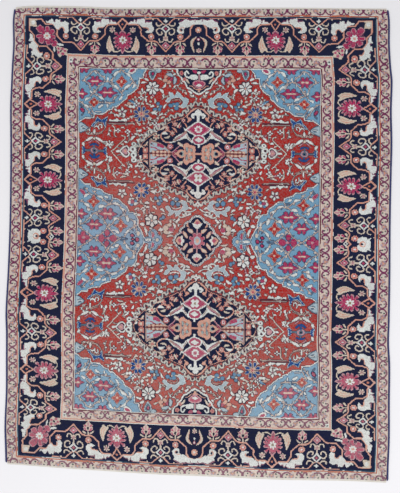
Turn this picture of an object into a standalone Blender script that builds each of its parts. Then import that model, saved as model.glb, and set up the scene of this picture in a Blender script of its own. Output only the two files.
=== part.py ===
"""Hand-knotted wool rug, about 1.48 m wide and 1.81 m long, lying flat.

Metres, +Z up. +X runs across the rug and +Y along it. The origin is at the centre of its underside.
The sides waver and the foot is a little out of square, as on a rug woven by hand.
"""

import math

import bmesh
import bpy

# Heights above the surface that the rug lies on
PILE_HEIGHT = 0.0070  # top of the clipped knots
WEB_HEIGHT = 0.0025  # cotton cloth beyond the last row of knots
PILE_SHOULDER = 0.0018  # the outermost tufts lean out, which rounds the edge

# Overcast cord along each long side
CORD_WIDTH = 0.0080
CORD_HEIGHT = 0.0066
CORD_FLAT = 0.0040  # width of the flat that a cord is pressed to where it lies
CORD_ARC_SIDES = 9
CORD_TIP = 0.0060  # length over which an end rounds off
FIT_GAP = 0.0003  # between a cord and the cloth that it is sewn to

STATION_PITCH = 0.030  # spacing of the points along every edge

# Outer edge of each cord, from the head of the rug to its foot: y, left x, right x
SIDE_STATIONS = (
    (0.8900, -0.7370, 0.7180),
    (0.8450, -0.7405, 0.7230),
    (0.7500, -0.7370, 0.7245),
    (0.6650, -0.7395, 0.7305),
    (0.6150, -0.7405, 0.7360),
    (0.5000, -0.7420, 0.7345),
    (0.3750, -0.7378, 0.7383),
    (0.2350, -0.7345, 0.7366),
    (0.0500, -0.7320, 0.7356),
    (-0.1400, -0.7340, 0.7368),
    (-0.3000, -0.7382, 0.7362),
    (-0.3800, -0.7340, 0.7350),
    (-0.4650, -0.7320, 0.7402),
    (-0.6000, -0.7285, 0.7405),
    (-0.7400, -0.7300, 0.7420),
    (-0.8400, -0.7245, 0.7390),
    (-0.8900, -0.7225, 0.7385),
)

# Last row of knots at the head and at the foot, and the cloth left beyond each: x, head y, foot y, head web, foot web
END_STATIONS = (
    (-0.7370, 0.8910, -0.8755, 0.0085, 0.0065),
    (-0.6650, 0.8960, -0.8765, 0.0090, 0.0070),
    (-0.4750, 0.8945, -0.8845, 0.0085, 0.0070),
    (-0.3450, 0.8905, -0.8875, 0.0080, 0.0075),
    (-0.1500, 0.8905, -0.8930, 0.0075, 0.0080),
    (0.0900, 0.8905, -0.8940, 0.0070, 0.0085),
    (0.3350, 0.8915, -0.8965, 0.0065, 0.0085),
    (0.5750, 0.8895, -0.8925, 0.0060, 0.0080),
    (0.7200, 0.8890, -0.8945, 0.0055, 0.0075),
)


def clear_scene():
    for obj in list(bpy.data.objects):
        bpy.data.objects.remove(obj, do_unlink=True)


def wool(name, colour, roughness):
    material = bpy.data.materials.new(name)
    material.use_nodes = True
    shader = material.node_tree.nodes["Principled BSDF"]
    shader.inputs["Base Color"].default_value = (*colour, 1.0)
    shader.inputs["Roughness"].default_value = roughness
    shader.inputs["Metallic"].default_value = 0.0
    return material


def along(stations, column, at):
    """Value of one column of a table at a place between its rows, on a smooth curve through the rows."""
    rows = sorted(stations)
    last = len(rows) - 1
    i = max(0, min(last - 1, sum(row[0] <= at for row in rows) - 1))
    before, start, end, after = (rows[max(0, min(last, k))] for k in range(i - 1, i + 3))
    span = end[0] - start[0]
    t = (at - start[0]) / span
    slope_in = (end[column] - before[column]) / (end[0] - before[0]) * span
    slope_out = (after[column] - start[column]) / (after[0] - start[0]) * span
    return (
        (2 * t**3 - 3 * t**2 + 1) * start[column]
        + (t**3 - 2 * t**2 + t) * slope_in
        + (3 * t**2 - 2 * t**3) * end[column]
        + (t**3 - t**2) * slope_out
    )


def side_x(side, y):
    """Outer edge of the cord on one side: side is -1 on the left and 1 on the right."""
    return along(SIDE_STATIONS, 1 if side < 0 else 2, y)


def end_y(end, x):
    """Last row of knots: end is 1 at the head and -1 at the foot."""
    return along(END_STATIONS, 1 if end > 0 else 2, x)


def web_reach(end, x):
    return along(END_STATIONS, 3 if end > 0 else 4, x)


def spaced(low, high):
    """Evenly spaced places from low to high, both included."""
    steps = math.ceil((high - low) / STATION_PITCH)
    return [low + (high - low) * k / steps for k in range(steps + 1)]


def cloth_x(side, y):
    """Side of the knotted cloth, beside its cord."""
    return side_x(side, y) - side * (CORD_WIDTH + FIT_GAP)


def corner(end, side):
    """Corner of the knotted cloth, where its last row meets its side."""
    y = end_y(end, side_x(side, end * SIDE_STATIONS[0][0]))
    return cloth_x(side, y), y


def mesh_object(name, rings_and_faces, material):
    mesh = bpy.data.meshes.new(name)
    rings_and_faces.to_mesh(mesh)
    rings_and_faces.free()
    mesh.materials.append(material)
    obj = bpy.data.objects.new(name, mesh)
    bpy.context.collection.objects.link(obj)
    return obj


def knotted_cloth():
    """Pile and foundation in one: a slab as high as the pile, with a thin cotton web left at both ends."""
    bm = bmesh.new()

    def lift(points, z):
        return [bm.verts.new((x, y, z)) for x, y in points]

    def wall(lower, upper):
        for k in range(len(lower) - 1):
            bm.faces.new((lower[k], lower[k + 1], upper[k + 1], upper[k]))

    # Anticlockwise from the foot's left corner: foot, right side, head, left side
    foot_left, foot_right = corner(-1, -1), corner(-1, 1)
    head_left, head_right = corner(1, -1), corner(1, 1)
    foot = [foot_left]
    foot += [(x, end_y(-1, x)) for x in spaced(foot_left[0], foot_right[0])[1:-1]]
    foot += [foot_right]
    head = [head_right]
    head += [(x, end_y(1, x)) for x in reversed(spaced(head_left[0], head_right[0])[1:-1])]
    head += [head_left]
    right = [(cloth_x(1, y), y) for y in spaced(foot_right[1], head_right[1])[1:-1]]
    left = [(cloth_x(-1, y), y) for y in reversed(spaced(foot_left[1], head_left[1])[1:-1])]
    foot_web = [(x, y - web_reach(-1, x)) for x, y in foot]
    head_web = [(x, y + web_reach(1, x)) for x, y in head]

    floor = {
        "foot": lift(foot, 0),
        "right": lift(right, 0),
        "head": lift(head, 0),
        "left": lift(left, 0),
        "foot_web": lift(foot_web, 0),
        "head_web": lift(head_web, 0),
    }
    ledge = {
        "foot": lift(foot, WEB_HEIGHT),
        "head": lift(head, WEB_HEIGHT),
        "foot_web": lift(foot_web, WEB_HEIGHT),
        "head_web": lift(head_web, WEB_HEIGHT),
    }
    rim = foot + right + head + left
    brow = lift(rim, PILE_HEIGHT - PILE_SHOULDER)
    middle_x = sum(x for x, y in rim) / len(rim)
    middle_y = sum(y for x, y in rim) / len(rim)
    half_width = max(x for x, y in rim) - middle_x
    half_length = max(y for x, y in rim) - middle_y
    drawn_in = [
        (
            middle_x + (x - middle_x) * (1 - PILE_SHOULDER / half_width),
            middle_y + (y - middle_y) * (1 - PILE_SHOULDER / half_length),
        )
        for x, y in rim
    ]
    crest = lift(drawn_in, PILE_HEIGHT)

    # Underside, in three strips, and the top of the web at each end
    bm.faces.new(list(reversed(floor["foot"] + floor["right"] + floor["head"] + floor["left"])))
    for end in ("foot", "head"):
        for k in range(len(floor[end]) - 1):
            under = (floor[end + "_web"][k], floor[end][k], floor[end][k + 1], floor[end + "_web"][k + 1])
            over = (ledge[end + "_web"][k], ledge[end + "_web"][k + 1], ledge[end][k + 1], ledge[end][k])
            bm.faces.new(under)
            bm.faces.new(over)
        wall(floor[end + "_web"], ledge[end + "_web"])
        for k, neighbour in ((0, 0), (-1, -1)):
            lower = (floor[end][k], floor[end + "_web"][neighbour])
            upper = (ledge[end][k], ledge[end + "_web"][neighbour])
            if k == -1:
                lower, upper = lower[::-1], upper[::-1]
            bm.faces.new((lower[0], lower[1], upper[1], upper[0]))

    # Pile: two ends that rise from the web, two sides that rise from the floor, and the top
    first, second = len(foot), len(foot) + len(right)
    third = second + len(head)
    wall(ledge["foot"], brow[:first])
    wall(ledge["head"], brow[second:third])
    for low, start, stop, before, after in (
        (floor["right"], first, second, "foot", "head"),
        (floor["left"], third, len(rim), "head", "foot"),
    ):
        wall(low, brow[start:stop])
        ahead = brow[stop % len(rim)]
        bm.faces.new((floor[before][-1], low[0], brow[start], brow[start - 1], ledge[before][-1]))
        bm.faces.new((low[-1], floor[after][0], ledge[after][0], ahead, brow[stop - 1]))
    wall(brow + brow[:1], crest + crest[:1])
    bm.faces.new(crest)
    return bm


def cord_section(scale):
    """Upright section of a cord about its foot's middle: an oval pressed flat where it lies."""
    half, middle = CORD_WIDTH / 2, CORD_HEIGHT / 2
    start = math.asin(CORD_FLAT / CORD_WIDTH)
    points = []
    for k in range(CORD_ARC_SIDES + 1):
        angle = start + (2 * math.pi - 2 * start) * k / CORD_ARC_SIDES
        x, z = half * math.sin(angle), middle - middle * math.cos(angle)
        points.append((x * scale, z * scale))
    lowest = min(z for x, z in points)
    return [(x, z - lowest) for x, z in points]


def side_cord(side):
    """Wool wound over the outer warps, in one oval cord that follows the side from head to foot."""
    bm = bmesh.new()
    foot_y, head_y = corner(-1, side)[1], corner(1, side)[1]
    tip = ((0.0, 0.45), (0.35, 0.85), (1.0, 1.0))
    stations = [(foot_y + CORD_TIP * run, size) for run, size in tip]
    stations += [(y, 1.0) for y in spaced(foot_y + CORD_TIP, head_y - CORD_TIP)[1:-1]]
    stations += [(head_y - CORD_TIP * run, size) for run, size in reversed(tip)]
    rings = []
    for y, size in stations:
        centre = side_x(side, y) - side * CORD_WIDTH / 2
        rings.append([bm.verts.new((centre + x, y, z)) for x, z in cord_section(size)])
    for ring, following in zip(rings, rings[1:]):
        for k in range(len(ring)):
            ahead = (k + 1) % len(ring)
            bm.faces.new((ring[k], ring[ahead], following[ahead], following[k]))
    bm.faces.new(reversed(rings[0]))
    bm.faces.new(rings[-1])
    bmesh.ops.recalc_face_normals(bm, faces=bm.faces)
    return bm


def model():
    clear_scene()
    madder = wool("madder red wool", (0.42, 0.055, 0.04), 0.95)
    indigo = wool("indigo wool", (0.022, 0.025, 0.095), 0.92)
    mesh_object("rug_body", knotted_cloth(), madder)
    for name, side in (("side_cord_left", -1), ("side_cord_right", 1)):
        cord = mesh_object(name, side_cord(side), indigo)
        cord.data.shade_smooth()
        cord.data.set_sharp_from_angle(angle=math.radians(50))


model()
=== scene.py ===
import math

import bpy
import numpy as np
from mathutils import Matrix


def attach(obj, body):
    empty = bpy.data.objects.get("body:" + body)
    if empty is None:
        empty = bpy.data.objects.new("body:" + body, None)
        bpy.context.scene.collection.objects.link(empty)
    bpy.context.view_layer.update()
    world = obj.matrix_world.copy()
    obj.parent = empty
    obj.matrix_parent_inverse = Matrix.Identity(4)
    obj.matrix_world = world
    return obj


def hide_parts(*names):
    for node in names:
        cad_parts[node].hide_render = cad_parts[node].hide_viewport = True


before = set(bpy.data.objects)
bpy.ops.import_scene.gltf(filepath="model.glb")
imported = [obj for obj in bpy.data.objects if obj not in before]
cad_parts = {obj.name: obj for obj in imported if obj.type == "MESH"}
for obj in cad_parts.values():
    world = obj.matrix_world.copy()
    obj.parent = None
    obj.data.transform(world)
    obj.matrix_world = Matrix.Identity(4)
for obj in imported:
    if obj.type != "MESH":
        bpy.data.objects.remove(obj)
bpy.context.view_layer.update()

# Foundation: the cotton cloth that carries the knots, warps and wefts of undyed yarn beaten tight.
# A narrow strip of it is left bare beyond the last row of knots at the head and at the foot, and
# the sides waver and the foot runs a little out of square, as on a loom worked by hand.
PILE_WIDTH = 1456.0  # mm across the knots on the weaver's chart
PILE_LENGTH = 1780.0
CORD_ROOM = 0.0083  # m, a side cord and the slit beside it
CLOTH_THICKNESS = 0.0024
SIDE_STATIONS = np.array((  # y, left x and right x of the cords' outer edge, from foot to head
    (-0.8900, -0.7225, 0.7385),
    (-0.8400, -0.7245, 0.7390),
    (-0.7400, -0.7300, 0.7420),
    (-0.6000, -0.7285, 0.7405),
    (-0.4650, -0.7320, 0.7402),
    (-0.3800, -0.7340, 0.7350),
    (-0.3000, -0.7382, 0.7362),
    (-0.1400, -0.7340, 0.7368),
    (0.0500, -0.7320, 0.7356),
    (0.2350, -0.7345, 0.7366),
    (0.3750, -0.7378, 0.7383),
    (0.5000, -0.7420, 0.7345),
    (0.6150, -0.7405, 0.7360),
    (0.6650, -0.7395, 0.7305),
    (0.7500, -0.7370, 0.7245),
    (0.8450, -0.7405, 0.7230),
    (0.8900, -0.7370, 0.7180),
))
END_STATIONS = np.array((  # x, last row at the head and at the foot, and the bare cloth beyond each
    (-0.7370, 0.8910, -0.8755, 0.0085, 0.0065),
    (-0.6650, 0.8960, -0.8765, 0.0090, 0.0070),
    (-0.4750, 0.8945, -0.8845, 0.0085, 0.0070),
    (-0.3450, 0.8905, -0.8875, 0.0080, 0.0075),
    (-0.1500, 0.8905, -0.8930, 0.0075, 0.0080),
    (0.0900, 0.8905, -0.8940, 0.0070, 0.0085),
    (0.3350, 0.8915, -0.8965, 0.0065, 0.0085),
    (0.5750, 0.8895, -0.8925, 0.0060, 0.0080),
    (0.7200, 0.8890, -0.8945, 0.0055, 0.0075),
))


def along(stations, column, at):
    """One column of a table at places between its rows, on a smooth curve through the rows."""
    x, y = stations[:, 0], stations[:, column]
    last = len(x) - 1
    i = np.clip(np.searchsorted(x, at, side="right") - 1, 0, last - 1)
    before, after = np.maximum(i - 1, 0), np.minimum(i + 2, last)
    span = x[i + 1] - x[i]
    t = np.clip((at - x[i]) / span, -0.05, 1.05)
    slope_in = (y[i + 1] - y[before]) / (x[i + 1] - x[before]) * span
    slope_out = (y[after] - y[i]) / (x[after] - x[i]) * span
    return (
        (2 * t**3 - 3 * t**2 + 1) * y[i]
        + (t**3 - 2 * t**2 + t) * slope_in
        + (3 * t**2 - 2 * t**3) * y[i + 1]
        + (t**3 - t**2) * slope_out
    )


def on_cloth(u, v):
    """Where a place on the chart lies on the rug; u and v are mm from the chart's middle.

    From the last row of knots to 1 mm past it v runs out to the edge of the bare cloth.
    """
    half = PILE_LENGTH / 2
    inside = np.clip(v, -half, half)
    left = along(SIDE_STATIONS, 1, inside / 1000) + CORD_ROOM
    right = along(SIDE_STATIONS, 2, inside / 1000) - CORD_ROOM
    x = left + (right - left) * (u / PILE_WIDTH + 0.5)
    head, foot = along(END_STATIONS, 1, x), along(END_STATIONS, 2, x)
    y = foot + (head - foot) * (inside / PILE_LENGTH + 0.5)
    bare = np.clip(np.abs(v) - half, 0, 1)
    return x, y + np.where(v > 0, bare * along(END_STATIONS, 3, x), -bare * along(END_STATIONS, 4, x))


def new_piece(name, points, corners, loop_starts, material):
    mesh = bpy.data.meshes.new(name)
    mesh.vertices.add(len(points))
    mesh.vertices.foreach_set("co", np.asarray(points, np.float32).ravel())
    mesh.loops.add(len(corners))
    mesh.loops.foreach_set("vertex_index", np.asarray(corners, np.int32))
    mesh.polygons.add(len(loop_starts))
    mesh.polygons.foreach_set("loop_start", np.asarray(loop_starts, np.int32))
    mesh.update(calc_edges=True)
    mesh.validate()
    mesh.materials.append(material)
    mesh.shade_smooth()
    piece = bpy.data.objects.new(name, mesh)
    bpy.context.collection.objects.link(piece)
    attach(piece, "root")
    return piece


def linear(hex_colour):
    """The linear colour of an sRGB hex value."""
    parts = [int(hex_colour[k : k + 2], 16) / 255 for k in (1, 3, 5)]
    return (*(c / 12.92 if c <= 0.04045 else ((c + 0.055) / 1.055) ** 2.4 for c in parts), 1.0)


def add_node(tree, kind, settings=(), **sockets):
    """Adds a node, sets it, fills its sockets with values or links, and gives its outputs."""
    made = tree.nodes.new("ShaderNode" + kind)
    for name, value in dict(settings).items():
        setattr(made, name, value)
    for name, value in sockets.items():
        socket = made.inputs[int(name[1:])] if name[0] == "_" else made.inputs[name.replace("_", " ")]
        if isinstance(value, bpy.types.NodeSocket):
            tree.links.new(value, socket)
        else:
            socket.default_value = value
    return made.outputs


def new_material(name):
    """An empty material, its tree and its output node's surface socket."""
    material = bpy.data.materials.new(name)
    material.use_nodes = True
    tree = material.node_tree
    tree.nodes.clear()
    return material, tree, tree.nodes.new("ShaderNodeOutputMaterial").inputs["Surface"]


def undyed_cotton():
    """Cotton cloth, handspun and unbleached: matt, creamy white, with a weft every 1.2 mm."""
    material, tree, surface = new_material("undyed_cotton_cloth")
    place = add_node(tree, "TexCoord")["Object"]
    soil = add_node(tree, "TexNoise", Vector=place, Scale=38.0, Detail=3.0)
    colour = add_node(tree, "Mix", {"data_type": "RGBA"}, _0=soil["Fac"], _6=linear("#CFC8BC"),
        _7=linear("#F1EDE6"))
    wefts = add_node(tree, "TexWave", {"bands_direction": "Y"}, Vector=place, Scale=260.0, Distortion=1.5)
    warps = add_node(tree, "TexWave", {"bands_direction": "X"}, Vector=place, Scale=210.0, Distortion=1.5)
    weave = add_node(tree, "Math", {"operation": "ADD"}, _0=wefts["Fac"], _1=warps["Fac"])
    bump = add_node(tree, "Bump", Strength=0.5, Distance=0.0006, Height=weave["Value"])
    cloth = add_node(
        tree, "BsdfPrincipled", Base_Color=colour[2], Roughness=0.9, IOR=1.53, Sheen_Weight=0.15,
        Normal=bump["Normal"],
    )
    tree.links.new(cloth["BSDF"], surface)
    return material


back_u = np.linspace(-PILE_WIDTH / 2, PILE_WIDTH / 2, 147)
back_v = np.concatenate(((-PILE_LENGTH / 2 - 1,), np.linspace(-PILE_LENGTH / 2, PILE_LENGTH / 2, 179),
    (PILE_LENGTH / 2 + 1,)))
grid_u, grid_v = np.meshgrid(back_u, back_v)
x, y = on_cloth(grid_u, grid_v)
rows, columns = x.shape
number = np.arange(rows * columns).reshape(rows, columns)
under = np.stack((number[:-1, :-1], number[1:, :-1], number[1:, 1:], number[:-1, 1:]), -1).reshape(-1, 4)
rim = np.concatenate((number[0, :-1], number[:-1, -1], number[-1, :0:-1], number[:0:-1, 0]))
top = rows * columns + np.arange(len(rim))
walls = np.stack((rim, np.roll(rim, -1), np.roll(top, -1), top), -1)
points = np.concatenate((
    np.stack((x.ravel(), y.ravel(), np.zeros(x.size)), -1),
    np.stack((x.ravel()[rim], y.ravel()[rim], np.full(len(rim), CLOTH_THICKNESS)), -1),
))
corners = np.concatenate((under.ravel(), walls.ravel(), top))
starts = np.arange(len(under) + len(walls) + 1) * 4
foundation = new_piece("foundation", points, corners, starts, undyed_cotton())
foundation.data.set_sharp_from_angle(angle=math.radians(50))
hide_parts("rug_body")

# Outer guard stripe, the first band that the weaver knots: pairs of wine scrolls on camel wool
# with a lilac and rose blossom between them, cut in half where it meets the rug's ends. The yarns and
# the squared chart that every band of the rug is knotted from start here.
chart = np.zeros((900, 740), np.uint8)  # a quarter of the rug, one cell a mm; both ways mirror it
yarns = []


def dyed(hex_colour):
    """Number of a yarn of this colour."""
    yarns.append(linear(hex_colour))
    return len(yarns) - 1


IVORY = dyed("#D0D3D1")  # undyed wool
OAT = dyed("#C5BBB2")
CAMEL = dyed("#CCBAB0")
MADDER = dyed("#9F3C3A")
NAVY = dyed("#0D1434")
WINE = dyed("#6E3454")
SALMON = dyed("#C99586")
BRICK = dyed("#B06A58")
TEAL = dyed("#2B475C")
MIST = dyed("#93A09E")
SLATE_GREEN = dyed("#45524F")
LILAC = dyed("#9E8F9E")
ROSE = dyed("#A08078")
ASHES = dyed("#B39F97")
MAROON = dyed("#5E2732")


def curve(points, closed=False, steps=5):
    """Smooth line through a few points."""
    points = np.asarray(points, float)
    count = len(points) if closed else len(points) - 1
    k = np.arange(count)
    if closed:
        a, b, c, d = (points[(k + i) % len(points)] for i in (-1, 0, 1, 2))
    else:
        a, b, c, d = (points[np.clip(k + i, 0, count)] for i in (-1, 0, 1, 2))
    t = (np.arange(steps) / steps)[:, None, None]
    line = b + 0.5 * ((c - a) * t + (2 * a - 5 * b + 4 * c - d) * t**2 + (3 * b - a - 3 * c + d) * t**3)
    line = line.transpose(1, 0, 2).reshape(-1, 2)
    return line if closed else np.vstack((line, points[-1:]))


def window(low, high):
    """Chart cells between two corners, and the places of their middles."""
    p0, q0 = np.maximum(np.floor(low).astype(int), 0)
    p1, q1 = np.minimum(np.ceil(high).astype(int), (chart.shape[1], chart.shape[0]))
    part = chart[q0 : max(q1, q0), p0 : max(p1, p0)]
    return part, np.arange(p0, max(p1, p0)) + 0.5, (np.arange(q0, max(q1, q0)) + 0.5)[:, None]


def fill(yarn, outline):
    """Gives every cell inside an outline this yarn."""
    part, p, q = window(outline.min(0), outline.max(0))
    inside = np.zeros(part.shape, bool)
    for (p0, q0), (p1, q1) in zip(outline, np.roll(outline, -1, 0)):
        if q0 != q1:
            inside ^= ((q0 > q) != (q1 > q)) & (p < p0 + (q - q0) * (p1 - p0) / (q1 - q0))
    part[inside] = yarn


def trail(yarn, line, radii):
    """Gives every cell along a line this yarn; radii is half the line's breadth at each point."""
    for start, end, r0, r1 in zip(line[:-1], line[1:], radii[:-1], radii[1:]):
        reach = max(r0, r1)
        part, p, q = window(np.minimum(start, end) - reach, np.maximum(start, end) + reach)
        dp, dq = end - start
        t = np.clip(((p - start[0]) * dp + (q - start[1]) * dq) / max(dp * dp + dq * dq, 1e-9), 0, 1)
        part[(p - start[0] - t * dp) ** 2 + (q - start[1] - t * dq) ** 2 <= (r0 + (r1 - r0) * t) ** 2] = yarn


def place(p, q, turn=0.0, wide=1.0, high=1.0, side=False):
    """Where a motif lies: its middle, its turn in degrees and its stretch; side lays it along a long side."""
    c, s = math.cos(math.radians(turn)), math.sin(math.radians(turn))
    matrix = np.array(((c * wide, -s * high), (s * wide, c * high)))
    return matrix[::-1] if side else matrix, np.array((p, q), float)


def paired(*places):
    """Each place and its mirror image across the motif's own upright line."""
    flip = np.array(((-1, 0), (0, 1)))
    return places + tuple((matrix @ flip, middle) for matrix, middle in places)


class Motif:
    """Draws on the chart at each of its places, in mm from the motif's own middle."""

    def __init__(self, *places):
        self.places = places

    def laid(self, points):
        points = np.asarray(points, float)
        return [points @ matrix.T + middle for matrix, middle in self.places]

    def shape(self, yarn, points, smooth=True, edge=None, width=3.0):
        points = curve(points, closed=True) if smooth else np.asarray(points, float)
        for outline in self.laid(points):
            fill(yarn, outline)
            if edge is not None:
                ring = np.vstack((outline, outline[:1]))
                trail(edge, ring, np.full(len(ring), width / 2))

    def stem(self, yarn, points, width=4.0, smooth=True):
        points = curve(points) if smooth else np.asarray(points, float)
        for line in self.laid(points):
            trail(yarn, line, np.full(len(line), max(width, 2.8) / 2))

    def leaf(self, yarn, points, width=9.0, edge=None):
        """A stroke that swells and comes to a point at both ends."""
        points = curve(points)
        t = np.linspace(0, 1, len(points))
        swell = np.sin(np.pi * t) ** 0.8
        for line in self.laid(points):
            if edge is not None:
                trail(edge, line, swell * width / 2 + 1.6)
            trail(yarn, line, np.maximum(swell * width / 2, 0.8))

    def disc(self, yarn, a, b, r, tall=None, edge=None, width=3.0):
        turn = np.linspace(0, 2 * np.pi, 17)[:-1]
        tall = r if tall is None else tall
        self.shape(yarn, np.stack((a + r * np.cos(turn), b + tall * np.sin(turn)), 1), True, edge, width)

    def flower(self, yarn, heart, a, b, r, petals=8, core=0.36, deep=0.8):
        around = np.linspace(0, 2 * np.pi, petals * 4 + 1)[:-1]
        reach = r * np.tile((deep, 0.96, 1.0, 0.96), petals)
        self.shape(yarn, np.stack((a + reach * np.cos(around), b + reach * np.sin(around)), 1))
        self.disc(heart, a, b, r * core)


def lay_bands(*bands):
    """Plain ground of each band, the outermost first: yarn, half its width and half its length."""
    for yarn, half_width, half_length in bands:
        chart[: round(half_length), : round(half_width)] = yarn


KNOT_COLUMNS = 582
KNOT_ROWS = 712
PILE_TOP = 0.0067  # m above the floor, where the shears pass
KNOT_FOOT = 0.0022  # just below the cloth's upper face
ROUNDED = 0.0011  # how much lower the rug's outermost knots are worn


def drift(u, v, span, seed):
    """Smooth unevenness from -1 to 1 that changes over about span mm."""
    lattice = np.random.default_rng(seed).uniform(-1, 1, (64, 64))
    a, b = (u + 1000) / span, (v + 1000) / span
    i, j = np.floor(a).astype(int), np.floor(b).astype(int)
    s, t = a - i, b - j
    s, t = s * s * (3 - 2 * s), t * t * (3 - 2 * t)
    low = (1 - s) * lattice[j % 64, i % 64] + s * lattice[j % 64, (i + 1) % 64]
    high = (1 - s) * lattice[(j + 1) % 64, i % 64] + s * lattice[(j + 1) % 64, (i + 1) % 64]
    return (1 - t) * low + t * high


def yarn_at(u, v):
    """Yarn of the knot at a place; the weaver's hand strays a little, so mirrored motifs differ."""
    p = np.abs(u + 1.3 * drift(u, v, 45, 1) + 0.5 * drift(u, v, 9, 2))
    p = p + np.where(v < -857, np.clip((500 - np.abs(u)) / 12, 0, 12), 0)  # the foot's scrolls sit closer in
    q = v + 1.3 * drift(u, v, 45, 3) + 0.5 * drift(u, v, 9, 4)
    raised = np.where(np.abs(u) > 470, 8.0, 5.0) * np.clip((710 - np.abs(v)) / 50, 0, 1)
    q = np.abs(q + raised)
    return chart[np.clip(q.astype(int), 0, 899), np.clip(p.astype(int), 0, 739)]


knot_u = np.linspace(-PILE_WIDTH / 2, PILE_WIDTH / 2, KNOT_COLUMNS + 1)
knot_v = np.linspace(-PILE_LENGTH / 2, PILE_LENGTH / 2, KNOT_ROWS + 1)
edge_u, edge_v = np.meshgrid(knot_u, knot_v)
middle_u, middle_v = np.meshgrid((knot_u[1:] + knot_u[:-1]) / 2, (knot_v[1:] + knot_v[:-1]) / 2)
pile_x, pile_y = on_cloth(
    edge_u + 0.5 * drift(edge_u, edge_v, 14, 5) * (np.abs(edge_u) < PILE_WIDTH / 2),
    edge_v + 0.7 * drift(edge_u, edge_v, 14, 6) * (np.abs(edge_v) < PILE_LENGTH / 2),
)
clipped = np.random.default_rng(7).normal(0, 0.00010, edge_u.shape)
pile_z = PILE_TOP + clipped + 0.00016 * drift(edge_u, edge_v, 60, 8) + 0.00010 * drift(edge_u, edge_v, 8, 9)
pile_z[[0, -1], :] -= ROUNDED
pile_z[:, [0, -1]] -= ROUNDED


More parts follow.
